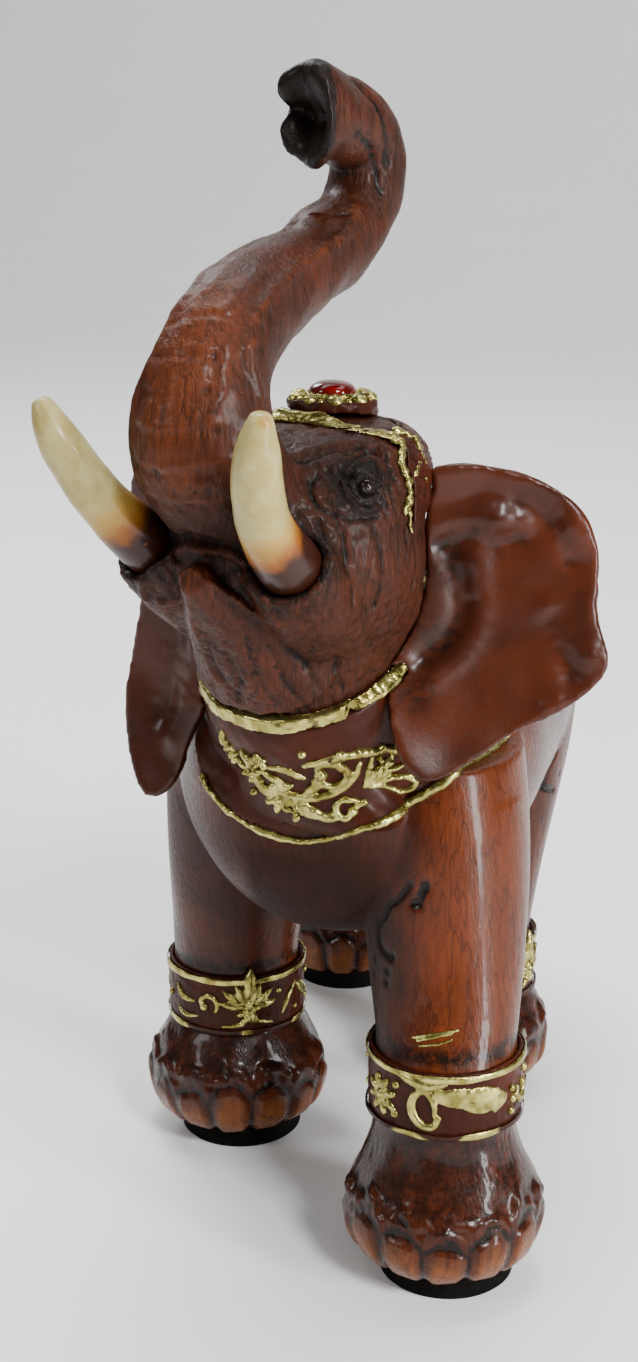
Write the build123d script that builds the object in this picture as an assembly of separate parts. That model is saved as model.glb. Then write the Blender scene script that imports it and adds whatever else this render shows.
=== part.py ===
from build123d import *
from math import cos, pi, radians, sin, tan
import os

# Carved elephant figurine, in millimetres.  It walks towards -Y, its own left side is +X and +Z is up.
# The body is a barrel block on four turned and carved legs; the head block, with the raised trunk,
# is turned towards the elephant's right.  Blocks meet on flat glued faces with hidden dowels.

# ---------------------------------------------------------------- driving sizes
# feet and legs
PAD_RADIUS = 15.5
PAD_HEIGHT = 6.5
PAD_CHAMFER = 0.5
FOOT_RADIUS = 22.6
REAR_FOOT_SHARE = 0.93
FOOT_HEIGHT = 21.0
SOLE_SHARE = 0.78
ANKLE_RADIUS = 16.2
ANKLE_STEP = 0.5
SHOULDER_EXTRA_WIDTH = 2.4
SHOULDER_EXTRA_DEPTH = 6.0
FRONT_STRIDE = (-60.5, -6.5)
REAR_STRIDE = (30.0, 92.5)
FOOT_SIDE_STEP = {"front_left": 29.6, "front_right": -35.4, "rear_left": 19.6, "rear_right": -30.4}
HIP_PLACE = {
    "front_left": (25, -40),
    "front_right": (-27.5, -22),
    "rear_left": (26.5, 48),
    "rear_right": (-26, 66),
}
SEAT_DROP = 2.5
SEAT_SHARE = 0.3
PAD_SIDE_OFFSET = 0.9

# anklets
ANKLET_HEIGHT = 16.0
ANKLET_LIFT = {"front_left": 41.0, "front_right": 32.5, "rear_left": 30.0, "rear_right": 30.0}
ANKLET_WALL = 1.2
ANKLET_RIM_HEIGHT = 2.2
ANKLET_RIM_PROUD = 0.9
ANKLET_RELIEF = 0.8

# body barrel
BODY_AXIS_HEIGHT = 111.0
BODY_HALF_WIDTH = 44.0
BODY_HALF_HEIGHT = 37.5
BODY_FRONT = -68.0
BODY_LENGTH = 176.0

# head
HEAD_TURN = 20.0
HEAD_PIVOT = -60.0
HEAD_FOOT = 130.0
HEAD_HEIGHT = 67.0
EYE_PLACE = (23.6, 19.5, 58.9)
HEAD_HALF_WIDTH = 29.0
HEAD_HALF_DEPTH = 28.0
NECK_HALF_WIDTH = 34.0
NECK_HALF_DEPTH = 31.0

# ears
EAR_THICKNESS = 3.6
EAR_BOWL_RADIUS = 110.0
EAR_BOWL_CENTRE = (14, -6)
EAR_BOWL_DEPTH = 2.5

# trim
CLOTH_THICKNESS = 1.0
TRIM_THICKNESS = 1.9
COLLAR_THICKNESS = 1.5
COLLAR_BAND_THICKNESS = 2.6
UPPER_BAND_WIDTH = 3.2
LOWER_BAND_WIDTH = 1.9
BOSS_RADIUS = 9.6
BOSS_HEIGHT = 2.6
BOSS_BEHIND = 5.0
BOSS_RISE = 0.6
BOSS_ROOT = 8.0
BOSS_ROUND = 0.8
PETAL_LENGTH = 4.4
PETAL_WIDTH = 3.6
PETAL_RISE = 1.3
PETAL_COUNT = 9
BEZEL_WALL = 0.9
BEZEL_HEIGHT = 1.6
JEWEL_SINK_SHARE = 0.6
JEWEL_RADIUS = 5.0
JEWEL_RISE = 2.6
EYE_RADIUS = 2.6

# joints
DOWEL_RADIUS = 4.0
DOWEL_LENGTH = 22.0
PEG_RADIUS = 1.0
PEG_LENGTH = 8.0
PEG_PLACE = (0.5, -1.8)
NECK_DOWEL_DEPTH = 26.0
NECK_DOWEL_SIDES = (-9, 9)
DOWEL_CLEARANCE = 0.15
END_CLEARANCE = 0.5

LEGS = ("front_left", "front_right", "rear_left", "rear_right")
OVAL_POINTS = 12
REACH = 400.0
STANDING = (Align.CENTER, Align.CENTER, Align.MIN)
SLICE_MARGIN = 2.0


# ---------------------------------------------------------------- small makers
def oval(plane, half_wide, half_deep):
    """A smooth closed oval on a plane, always started on the plane's x axis."""
    points = []
    for step in range(OVAL_POINTS):
        turn = 2 * pi * step / OVAL_POINTS
        points.append(plane.from_local_coords((half_wide * cos(turn), half_deep * sin(turn), 0)))
    return Wire([Edge.make_spline(points, periodic=True)])


def level(x, y, z):
    return Plane(origin=(x, y, z), x_dir=(1, 0, 0), z_dir=(0, 0, 1))


def tube(path, grow=0.0):
    """A tapering limb through ovals (place, half width, half depth) set square to its path."""
    places = [Vector(*place) for place, _, _ in path]
    ovals = []
    for index, (_, half_wide, half_deep) in enumerate(path):
        before = places[max(index - 1, 0)]
        after = places[min(index + 1, len(path) - 1)]
        along = (after - before).normalized()
        plane = Plane(origin=places[index], x_dir=(1, 0, 0), z_dir=along)
        ovals.append(oval(plane, half_wide + grow, half_deep + grow))
    return Solid.make_loft(ovals)


def half_space(plane):
    """A large block that fills the side of a plane that its normal points to."""
    return plane.location * Box(REACH, REACH, REACH, align=STANDING)


def largest(shape):
    return max(shape.solids(), key=lambda solid: solid.volume)


def on_head(shape):
    return Location((0, HEAD_PIVOT, 0), (0, 0, -HEAD_TURN)) * shape


def dowel(plane, radius, length, extra=0.0):
    """A dowel centred on a joint plane; extra makes the larger bore that it sits in."""
    side = DOWEL_CLEARANCE if extra else 0.0
    return plane.location * Cylinder(radius + side, length + 2 * extra)


# ---------------------------------------------------------------- forms of the blocks
BARREL_FORM = (
    # share of length, share of half width, share of half height, height of centre from the axis
    (0.00, 0.18, 0.21, -3),
    (0.025, 0.52, 0.60, -2),
    (0.09, 0.75, 0.88, -1),
    (0.22, 0.95, 1.00, 0),
    (0.41, 1.00, 1.01, 0),
    (0.60, 1.00, 1.00, -1),
    (0.77, 0.94, 0.97, -3),
    (0.90, 0.74, 0.81, -5),
    (0.975, 0.41, 0.50, -6),
    (1.00, 0.12, 0.14, -6),
)

HEAD_FORM = (
    # share of height, how far forward, share of half width, share of half depth
    (-0.337, -7, 0.58, 0.44),
    (-0.168, -1.5, 0.66, 0.57),
    (0.00, 4, 0.69, 0.64),
    (0.115, 6, 0.71, 0.65),
    (0.284, 6, 0.78, 0.73),
    (0.42, 8, 0.92, 0.84),
    (0.547, 11, 1.00, 0.96),
    (0.715, 12, 1.00, 1.00),
    (0.855, 8, 0.955, 0.90),
    (0.93, 4.5, 0.84, 0.76),
    (0.98, 2, 0.62, 0.54),
    (1.00, 1, 0.25, 0.20),
)

TRUNK_FORM = (
    # forward, height above the head's foot, half width, half depth
    (8, 48, 18, 14),
    (26, 53, 16.8, 11),
    (36, 60, 15.2, 13.6),
    (39.8, 71, 13.4, 13.6),
    (36.5, 81, 11.7, 11.6),
    (28, 89, 10.6, 10.7),
    (15, 94.5, 9.5, 9.5),
    (2, 98.5, 8.4, 8.4),
    (-9, 103.5, 8.2, 8.2),
    (-16, 110, 8.2, 8.2),
    (-18.2, 117.5, 8.2, 8.2),
    (-15, 123, 8.3, 8.4),
    (-8.5, 126, 8.5, 8.8),
    (-1.5, 127.8, 8.4, 9.3),
    (3.5, 127.4, 7.8, 9.6),
)
TRUNK_JOINT_STATION = 2

TUSK_SWAY = 0.055
TUSK_FORM = (
    # sideways, forward, height above the head's foot, radius
    (13, 18, 30, 6.6),
    (15.5, 28, 37, 6.8),
    (17.3, 36, 44, 6.6),
    (18.8, 44, 51, 6.1),
    (21.5, 50.5, 60, 5.1),
    (24.6, 54.5, 69, 3.6),
    (27, 56, 76, 1.3),
)

EARS = {
    # side, root point on the head (sideways, forward, height), flare back, lean back, outline from the root
    "ear_left": (1, (26, 0, 35), 30, 10,
                 ((-6, 20), (6, 24), (19, 22.5), (30, 17), (35.5, 6), (36, -7), (38.5, -17), (34, -23),
                  (22, -30), (9, -38.5), (1, -41.5), (-4.5, -36), (-7, -22), (-8, 0))),
    "ear_right": (-1, (24, 7, 20), -2, 0,
                  ((-4, 36), (9, 38), (17, 31), (19, 16), (20, 0), (23.5, -19), (22.5, -30), (19, -38.5),
                   (14, -42), (9.5, -39), (6, -29), (1, -18), (-4, -6), (-6, 15))),
}


def end_step(share, shares):
    """-1 at the first station of a form, +1 at its last and 0 between, to carry its ends outwards."""
    return (share == shares[-1]) - (share == shares[0])


def barrel(grow=0.0):
    ovals = []
    shares = [row[0] for row in BARREL_FORM]
    for length, wide, high, rise in BARREL_FORM:
        y = BODY_FRONT + length * BODY_LENGTH + grow * end_step(length, shares)
        centre = (0, y, BODY_AXIS_HEIGHT + rise)
        plane = Plane(origin=centre, x_dir=(1, 0, 0), z_dir=(0, -1, 0))
        ovals.append(oval(plane, wide * BODY_HALF_WIDTH + grow, high * BODY_HALF_HEIGHT + grow))
    return Solid.make_loft(ovals)


def skull(grow=0.0):
    """The head block in its own frame, forward along -Y."""
    ovals = []
    shares = [row[0] for row in HEAD_FORM]
    for height, forward, wide, deep in HEAD_FORM:
        plane = level(0, -forward, HEAD_FOOT + height * HEAD_HEIGHT + grow * end_step(height, shares))
        ovals.append(oval(plane, wide * HEAD_HALF_WIDTH + grow, deep * HEAD_HALF_DEPTH + grow))
    return Solid.make_loft(ovals)


def neck(grow=0.0):
    """The short thick neck that runs from inside the barrel up into the back of the head."""
    lean = Vector(0, -0.72, 0.69)
    turn = Location((0, HEAD_PIVOT, 0), (0, 0, -HEAD_TURN))
    head_end = (turn * Location((0, -4, HEAD_FOOT + 0.44 * HEAD_HEIGHT))).position
    middle = (turn * Location((0, 8, HEAD_FOOT + 0.126 * HEAD_HEIGHT))).position
    stations = (
        ((0, BODY_FRONT + 44, BODY_AXIS_HEIGHT - 1), NECK_HALF_WIDTH, NECK_HALF_DEPTH),
        (tuple(middle), 0.86 * NECK_HALF_WIDTH, 0.88 * NECK_HALF_DEPTH),
        (tuple(head_end), 0.66 * NECK_HALF_WIDTH, 0.70 * NECK_HALF_DEPTH),
    )
    ovals = []
    places = [row[0] for row in stations]
    for place, half_wide, half_deep in stations:
        plane = Plane(origin=place, x_dir=(1, 0, 0), z_dir=lean).offset(grow * end_step(place, places))
        ovals.append(oval(plane, half_wide + grow, half_deep + grow))
    return Solid.make_loft(ovals)


def trunk_form():
    path = [((0, -forward, HEAD_FOOT + height), wide, deep) for forward, height, wide, deep in TRUNK_FORM]
    return tube(path)


def tusk_place(side, out, forward, height):
    """A place on a tusk's path; both tusks lean a little towards the elephant's right."""
    return (side * out - TUSK_SWAY * (height - TUSK_FORM[2][2]), -forward, HEAD_FOOT + height)


def tusk_form(side):
    path = [(tusk_place(side, out, forward, height), r, r) for out, forward, height, r in TUSK_FORM]
    return tube(path)


def sheath(side):
    """The raised lip of skin that a tusk grows out of."""
    path = [(tusk_place(side, out, forward, height), r + grow, r + grow)
            for (out, forward, height, r), grow in zip(TUSK_FORM[:3], (4.5, 3.6, 2.2))]
    return tube(path)


def lower_lip():
    """The pointed lower lip, reaching forward and up under the trunk."""
    path = (
        ((0, -18, HEAD_FOOT + 18), 18, 13),
        ((0, -31, HEAD_FOOT + 30), 11, 8.5),
        ((0, -43.5, HEAD_FOOT + 40.5), 3.2, 2.8),
    )
    return tube(path)


def mouth():
    """The hollow between the root of the trunk and the lower lip."""
    path = (
        ((0, -26, HEAD_FOOT + 41), 11, 2.5),
        ((0, -36, HEAD_FOOT + 43.5), 12, 3.5),
        ((0, -49, HEAD_FOOT + 47), 13, 4.5),
    )
    return tube(path)


def joint_plane():
    """The glued face between the head block and the body block, hidden under the collar."""
    return Plane(origin=(-4, -76, 119), x_dir=(1, 0, 0.12), z_dir=(-0.09, -0.56, 0.82))


# ---------------------------------------------------------------- collar
def upper_collar_plane():
    return Plane(origin=(-9.4, -84.2, 134.5), x_dir=(1, 0, 0.14), z_dir=(-0.127, -0.433, 0.892))


def lower_collar_plane():
    return Plane(origin=(3.1, -68.1, 111.6), x_dir=(1, 0, 0.18), z_dir=(-0.116, -0.764, 0.635))


def chest_form(grow=0.0):
    """The body, neck, head and front legs where the collar runs over them."""
    form = barrel(grow) + neck(grow) + on_head(skull(grow))
    return form + upper_leg("front_left", grow) + upper_leg("front_right", grow)


def between(form, low, high):
    """The slice of a form above the low plane and below the high one."""
    return largest(form.split(low, keep=Keep.TOP).split(high, keep=Keep.BOTTOM))


def skin_between(outer, core, low, high):
    """The thin skin between two forms, cut off at the low and the high plane."""
    inner = between(core, low.offset(-SLICE_MARGIN), high.offset(SLICE_MARGIN))
    return between(outer, low, high) - inner


def chest_motifs():
    """Flat motifs in relief on the collar: across the chest, up from its middle, and the outline."""
    return (
        (-17.0, 9.5, "leaf", Rot(0, 0, 70) * leaf(6.5, 3.2)),
        (-13.2, 3.8, "flower", petal_flower(4.0)),
        (-8.6, -3.2, "flower", petal_flower(5.0)),
        (-4.5, 4.5, "leaf", Rot(0, 0, -25) * leaf(9, 3.4)),
        (0.5, -4.2, "leaf", Rot(0, 0, -12) * leaf(11, 4.0)),
        (5.8, 5.2, "scroll", scroll(3.4, 1.7)),
        (7.6, -2.6, "leaf", Rot(0, 0, 20) * leaf(9, 4.2)),
        (14.2, 5.4, "scroll", Rot(0, 0, 150) * scroll(3.8, 1.8)),
        (13.2, -1.4, "flower", petal_flower(3.6)),
        (20.0, 3.0, "leaf", Rot(0, 0, 60) * leaf(7, 3.0)),
    )


def chest_reliefs(shell):
    """Cut the motifs out of the raised shell: the flowers, then the scrolls with the leaves."""
    half_turn = HEAD_TURN / 2
    across = (cos(radians(half_turn)), -sin(radians(half_turn)), 0)
    forward = (-sin(radians(half_turn)), -cos(radians(half_turn)), 0)
    plane = Plane(origin=(-4, -100, 120), x_dir=across, z_dir=forward)
    flowers, scrolls = [], []
    drawn = None
    for u, v, kind, motif in chest_motifs():
        placed = Pos(u, v) * motif
        free = placed - drawn if drawn else placed
        drawn = drawn + placed if drawn else placed
        relief = shell & extrude(plane * free, -50)
        (flowers if kind == "flower" else scrolls).append(relief)
    return flowers, scrolls


# ---------------------------------------------------------------- legs, feet and anklets
def leg_place(name):
    stride = FRONT_STRIDE if name.startswith("front") else REAR_STRIDE
    return FOOT_SIDE_STEP[name], stride[0] if name.endswith("left") else stride[1]


def leg_seat():
    """Height of the flat glued faces between the legs and the body."""
    return BODY_AXIS_HEIGHT - BODY_HALF_HEIGHT - SEAT_DROP


def lower_leg(name):
    """Foot and ankle, turned about the leg's own upright axis up to the top of the anklet."""
    x, y = leg_place(name)
    anklet = ANKLET_LIFT[name]
    widest = FOOT_RADIUS if name.startswith("front") else REAR_FOOT_SHARE * FOOT_RADIUS
    foot = Spline(
        (SOLE_SHARE * widest, PAD_HEIGHT),
        (0.94 * widest, PAD_HEIGHT + 0.18 * FOOT_HEIGHT),
        (widest, PAD_HEIGHT + 0.45 * FOOT_HEIGHT),
        (0.92 * widest, PAD_HEIGHT + 0.83 * FOOT_HEIGHT),
        (ANKLE_RADIUS, anklet),
    )
    top = anklet + ANKLET_HEIGHT
    ankle = Polyline((ANKLE_RADIUS, anklet), (ANKLE_RADIUS, top), (0, top))
    sole = Polyline((0, top), (0, PAD_HEIGHT), (SOLE_SHARE * widest, PAD_HEIGHT))
    profile = Plane.XZ * make_face(Curve() + [foot, ankle, sole])
    return Pos(x, y, 0) * revolve(profile, Axis.Z)


def upper_leg(name, grow=0.0):
    """The leg above the anklet, leaning from over the foot to the hip or shoulder inside the body."""
    x, y = leg_place(name)
    hip_x, hip_y = HIP_PLACE[name]
    stations = (
        (ANKLET_LIFT[name] + ANKLET_HEIGHT, 0, ANKLE_RADIUS - ANKLE_STEP, 0),
        (leg_seat(), SEAT_SHARE, ANKLE_RADIUS + 0.5 * SHOULDER_EXTRA_WIDTH, 0),
        (BODY_AXIS_HEIGHT - 11, 0.75, ANKLE_RADIUS + SHOULDER_EXTRA_WIDTH, 0.6),
        (BODY_AXIS_HEIGHT + 10, 1, ANKLE_RADIUS + 0.4 * SHOULDER_EXTRA_WIDTH, 1),
    )
    ovals = []
    heights = [row[0] for row in stations]
    for height, share, radius, deepen in stations:
        place = (x + share * (hip_x - x), y + share * (hip_y - y), height + grow * end_step(height, heights))
        plane = level(*place)
        ovals.append(oval(plane, radius + grow, radius + deepen * SHOULDER_EXTRA_DEPTH + grow))
    return Solid.make_loft(ovals)


def leg_form(name):
    return lower_leg(name) + upper_leg(name)


def leg_joint(name):
    x, y = leg_place(name)
    hip_x, hip_y = HIP_PLACE[name]
    return level(x + SEAT_SHARE * (hip_x - x), y + SEAT_SHARE * (hip_y - y), leg_seat())


def foot_pad(name):
    x, y = leg_place(name)
    disc = Pos(x + PAD_SIDE_OFFSET, y, 0) * Cylinder(PAD_RADIUS, PAD_HEIGHT, align=STANDING)
    return chamfer(disc.edges(), PAD_CHAMFER)


def ring(place, radius, height, inner):
    outer = Cylinder(radius, height, align=STANDING)
    hole = Cylinder(inner, height, align=STANDING)
    return Pos(*place) * (outer - hole)


def anklet_radius():
    return ANKLE_RADIUS + ANKLET_WALL


def anklet_band(name):
    x, y = leg_place(name)
    return ring((x, y, ANKLET_LIFT[name]), anklet_radius(), ANKLET_HEIGHT, ANKLE_RADIUS)


def anklet_rims(name):
    x, y = leg_place(name)
    low = ANKLET_LIFT[name]
    rims = []
    for height in (low, low + ANKLET_HEIGHT - ANKLET_RIM_HEIGHT):
        rim = ring((x, y, height), anklet_radius() + ANKLET_RIM_PROUD, ANKLET_RIM_HEIGHT, anklet_radius())
        proud = rim.edges().sort_by(lambda edge: -edge.length)[:2]
        rims.append(fillet(proud, 0.4 * ANKLET_RIM_PROUD))
    return rims


def petal_flower(radius, count=5):
    """A flat flower outline: round petals about a round heart."""
    flower = Circle(0.34 * radius)
    petal = Pos(0.62 * radius, 0) * Ellipse(0.38 * radius, 0.30 * radius)
    for step in range(count):
        flower += Rot(0, 0, 360 * step / count) * petal
    return flower


def scroll(radius, width):
    """A flat C-scroll with a bead at its inner end."""
    arc = CenterArc((0, 0), radius, 20, 270)
    stroke = trace(arc, width)
    return stroke + Pos(radius * cos(radians(20)), radius * sin(radians(20))) * Circle(0.8 * width)


def leaf(length, width):
    tip = (length / 2, 0)
    tail = (-length / 2, 0)
    upper = ThreePointArc(tail, (0, width / 2), tip)
    lower = ThreePointArc(tip, (0, -width / 2), tail)
    return make_face(Curve() + [upper, lower])


def anklet_motifs():
    """Flat motifs, each with its angle round the anklet, counted from the front towards +X."""
    return (
        (-58, petal_flower(4.4, 8)),
        (-20, scroll(3.2, 1.4)),
        (8, Rot(0, 0, 25) * leaf(12, 5)),
        (38, petal_flower(3.6, 6)),
        (75, scroll(3.0, 1.4)),
        (110, leaf(11, 4.5)),
        (145, petal_flower(4.2, 8)),
        (180, scroll(3.2, 1.4)),
        (215, leaf(11, 4.5)),
        (255, petal_flower(4.0, 6)),
    )


def anklet_ornament(name):
    x, y = leg_place(name)
    middle = ANKLET_LIFT[name] + ANKLET_HEIGHT / 2
    clear = ANKLET_HEIGHT - 2 * ANKLET_RIM_HEIGHT
    shell = ring((x, y, middle - clear / 2), anklet_radius() + ANKLET_RELIEF, clear, anklet_radius())
    pieces = []
    for angle, motif in anklet_motifs():
        turn = radians(angle)
        outward = (sin(turn), -cos(turn), 0)
        plane = Plane(origin=(x, y, middle), x_dir=(cos(turn), sin(turn), 0), z_dir=outward)
        pieces += (shell & extrude(plane * motif, anklet_radius() + 5)).solids()
    return pieces


# ---------------------------------------------------------------- head-dress
def head_dress_outline():
    """Side view of the cloth over the crown, as forward and height pairs."""
    crown = HEAD_FOOT + HEAD_HEIGHT
    return [(-19, crown - 11), (-19, crown + 12), (8, crown + 12), (8, crown - 0.4), (4.6, crown - 2),
            (6.8, crown - 4.4), (9.8, crown - 7.4), (10.9, crown - 13), (9.8, crown - 18), (4, crown - 18),
            (-4, crown - 12)]


def trim_outline():
    """Side view of the gold edge: over the forehead, then down in front of each ear."""
    crown = HEAD_FOOT + HEAD_HEIGHT
    return [(9.8, crown + 12), (9.8, crown - 0.6), (6.2, crown - 2.4), (8.6, crown - 4.4), (11.4, crown - 7.6),
            (12.6, crown - 13), (10.4, crown - 20.5), (9.2, crown - 13), (8.2, crown - 7.2), (5, crown - 4.2),
            (2.8, crown - 1.6), (6.4, crown + 0.2), (6.4, crown + 12)]


def side_prism(outline):
    """A side-view outline (forward, height) drawn right through the head."""
    points = [(0, -forward, height) for forward, height in outline]
    face = make_face(Polyline(*points, close=True))
    return extrude(face, REACH / 2, dir=(1, 0, 0), both=True)


def crown_pieces(below):
    """Boss, petals, bezel and jewel, stacked on the crown; below is what the boss stands on."""
    seat = Pos(0, BOSS_BEHIND, HEAD_FOOT + HEAD_HEIGHT + BOSS_RISE)
    boss = seat * Pos(0, 0, -BOSS_ROOT) * Cylinder(BOSS_RADIUS, BOSS_HEIGHT + BOSS_ROOT, align=STANDING)
    boss = fillet(boss.edges().sort_by(Axis.Z)[-1], BOSS_ROUND)
    boss = largest(boss - below)
    top = seat * Pos(0, 0, BOSS_HEIGHT)
    bezel_radius = JEWEL_RADIUS + BEZEL_WALL
    bezel = top * ring((0, 0, 0), bezel_radius, BEZEL_HEIGHT, JEWEL_RADIUS)
    upper_half = Box(REACH, REACH, REACH, align=STANDING)
    dome = scale(Sphere(JEWEL_RADIUS) & upper_half, by=(1, 1, JEWEL_RISE / JEWEL_RADIUS))
    sunk = JEWEL_SINK_SHARE * BEZEL_HEIGHT
    jewel = top * (Cylinder(JEWEL_RADIUS, sunk, align=STANDING) + Pos(0, 0, sunk) * dome)
    petals = []
    ring_radius = bezel_radius + PETAL_LENGTH / 2
    lobe = scale(Sphere(1) & upper_half, by=(PETAL_LENGTH / 2, PETAL_WIDTH / 2, PETAL_RISE))
    for step in range(PETAL_COUNT):
        placed = top * Rot(0, 0, 360 * step / PETAL_COUNT) * Pos(ring_radius, 0, 0) * lobe
        petals.append(largest(placed - boss))
    return boss, petals, bezel, jewel


# ---------------------------------------------------------------- ears
def ear_plane(name):
    side, (out, forward, height), flare, lean, _ = EARS[name]
    outward = Vector(side * cos(radians(flare)), sin(radians(flare)), 0)
    upright = Vector(0, tan(radians(lean)), 1).normalized()
    facing = outward.cross(upright) * side
    return Plane(origin=(side * out, -forward, HEAD_FOOT + height), x_dir=outward * side, z_dir=facing)


def ear_form(name):
    """A bowed plate: the ear's outline cut out of a large thin bowl that is hollow to the front."""
    side, _, _, _, outline = EARS[name]
    plane = ear_plane(name)
    points = [(side * out, height) for out, height in outline]
    face = make_face(Spline(*points, periodic=True))
    blank = plane * extrude(face, 30, both=True)
    out, up = EAR_BOWL_CENTRE
    centre = plane.from_local_coords((side * out, up, EAR_BOWL_RADIUS - EAR_BOWL_DEPTH))
    outside = Sphere(EAR_BOWL_RADIUS + EAR_THICKNESS / 2)
    inside = Sphere(EAR_BOWL_RADIUS - EAR_THICKNESS / 2)
    return largest(blank & Pos(centre) * (outside - inside))


def ear_peg(name, extra=0.0):
    side, _, _, _, _ = EARS[name]
    plane = ear_plane(name)
    centre = plane.from_local_coords((side * PEG_PLACE[0], 0, PEG_PLACE[1]))
    axis = Plane(origin=centre, z_dir=plane.x_dir * side)
    return dowel(axis, PEG_RADIUS, PEG_LENGTH, extra)


# ---------------------------------------------------------------- tail and pads
def tail_form():
    back = BODY_FRONT + BODY_LENGTH
    path = (
        ((0, back - 9, BODY_AXIS_HEIGHT + 12), 4.6, 4.6),
        ((0, back + 1, BODY_AXIS_HEIGHT + 6), 4.2, 4.2),
        ((1, back + 5, BODY_AXIS_HEIGHT - 6), 3.4, 3.4),
        ((2, back + 4, BODY_AXIS_HEIGHT - 20), 2.8, 2.8),
        ((2, back + 2, BODY_AXIS_HEIGHT - 33), 2.6, 2.6),
        ((1, back + 1, BODY_AXIS_HEIGHT - 43), 3.6, 3.2),
        ((0, back + 1, BODY_AXIS_HEIGHT - 52), 1.2, 1.2),
    )
    return tube(path)


# ---------------------------------------------------------------- assembly
def build():
    nodes = {}
    joint = joint_plane()
    above_joint = half_space(joint)
    above_seat = half_space(Plane.XY.offset(leg_seat()))

    # trunk, parted from the head on a plane square to its path
    path = [Vector(0, -forward, HEAD_FOOT + height) for forward, height, _, _ in TRUNK_FORM]
    along = path[TRUNK_JOINT_STATION + 1] - path[TRUNK_JOINT_STATION - 1]
    trunk_joint = Plane(origin=path[TRUNK_JOINT_STATION], x_dir=(1, 0, 0), z_dir=along)
    trunk_blank = trunk_form()
    trunk_root = largest(trunk_blank - half_space(trunk_joint))
    trunk = on_head(largest((trunk_blank & half_space(trunk_joint)) - skull()))
    trunk_joint = Plane(on_head(trunk_joint.location))

    # head and body, carved as one form and parted at the joint plane
    face = skull() + trunk_root - mouth() + lower_lip() + sheath(1) + sheath(-1)
    head_side = on_head(face)
    blank = barrel() + neck() + head_side
    head = largest(blank & above_joint)
    torso = blank - above_joint
    legs = {}
    for name in LEGS:
        torso += upper_leg(name) & above_seat
        legs[name] = leg_form(name) - above_seat
    torso = largest(torso)

    # tusks, eyes and ears are let into the head
    for side, name in ((1, "left"), (-1, "right")):
        tusk = on_head(tusk_form(side))
        out, forward, height = EYE_PLACE
        eye = on_head(Pos(side * out, -forward, HEAD_FOOT + height) * Sphere(EYE_RADIUS))
        nodes["tusk_" + name] = tusk
        nodes["eye_" + name] = eye
        head = head - tusk - eye
    tail = tail_form()
    torso -= tail

    # head-dress
    trim_prism = side_prism(trim_outline())
    cloth_prism = side_prism(head_dress_outline()) - trim_prism
    cloth = on_head(largest((skull(CLOTH_THICKNESS) & cloth_prism) - skull()))
    trim = on_head((skull(TRIM_THICKNESS) & trim_prism) - skull())
    boss, petals, bezel, jewel = [
        [on_head(piece) for piece in (group if isinstance(group, list) else [group])]
        for group in crown_pieces(skull(CLOTH_THICKNESS))
    ]

    # collar
    chest = chest_form()
    chest_raised = chest_form(COLLAR_THICKNESS)
    chest_banded = chest_form(COLLAR_BAND_THICKNESS)
    low, high = lower_collar_plane(), upper_collar_plane()
    panel = largest(skin_between(chest_raised, chest, low, high))
    lower_band = largest(skin_between(chest_banded, chest, low.offset(-LOWER_BAND_WIDTH), low))
    upper_band = skin_between(chest_banded, chest, high, high.offset(UPPER_BAND_WIDTH))
    upper_band = largest(upper_band - head_side)
    nodes["chest_panel"] = panel
    nodes["collar_lower_band"] = lower_band
    nodes["collar_upper_band"] = upper_band
    flowers, scrolls = chest_reliefs(skin_between(chest_banded, chest_raised, low, high))
    nodes["chest_flowers"] = flowers
    nodes["chest_scrolls"] = scrolls

    # ears, cut to lie on the head, the neck and the collar
    pegs = []
    for name in EARS:
        ear = on_head(ear_form(name)) - head_side - neck() - torso
        ear = largest(ear - panel - lower_band - upper_band - cloth - trim)
        bore = on_head(ear_peg(name, END_CLEARANCE))
        nodes[name] = ear - bore
        head -= bore
        pegs.append(on_head(ear_peg(name)))
    nodes["ear_pegs"] = pegs

    # hidden dowels and their bores
    neck_pins = [joint * Pos(offset, NECK_DOWEL_DEPTH, 0) for offset in NECK_DOWEL_SIDES]
    neck_places = [Plane(place) for place in neck_pins]
    nodes["neck_dowels"] = [dowel(place, DOWEL_RADIUS, DOWEL_LENGTH) for place in neck_places]
    for place in neck_places:
        bore = dowel(place, DOWEL_RADIUS, DOWEL_LENGTH, END_CLEARANCE)
        head -= bore
        torso -= bore
    nodes["trunk_dowel"] = dowel(trunk_joint, DOWEL_RADIUS, DOWEL_LENGTH)
    bore = dowel(trunk_joint, DOWEL_RADIUS, DOWEL_LENGTH, END_CLEARANCE)
    head -= bore
    trunk -= bore
    leg_dowels = []
    for name in LEGS:
        place = leg_joint(name)
        bore = dowel(place, DOWEL_RADIUS, DOWEL_LENGTH, END_CLEARANCE)
        torso -= bore
        anklet = anklet_band(name)
        nodes["anklet_" + name] = anklet
        nodes["anklet_" + name + "_rims"] = anklet_rims(name)
        nodes["anklet_" + name + "_ornament"] = anklet_ornament(name)
        nodes["leg_" + name] = largest(legs[name] - bore)
        nodes["foot_pad_" + name] = foot_pad(name)
        leg_dowels.append(dowel(place, DOWEL_RADIUS, DOWEL_LENGTH))
    nodes["leg_dowels"] = leg_dowels
    nodes["torso"] = largest(torso)
    nodes["head"] = largest(head)
    nodes["trunk"] = largest(trunk)
    nodes["tail"] = tail
    nodes["head_cloth"] = cloth
    nodes["head_cloth_trim"] = trim.solids()
    nodes["crown_boss"] = boss
    nodes["crown_petals"] = petals
    nodes["crown_bezel"] = bezel
    nodes["crown_jewel"] = jewel
    return nodes


def as_solids(shape):
    if isinstance(shape, (list, tuple)):
        return [solid for piece in shape for solid in as_solids(piece)]
    return list(shape.solids())


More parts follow.
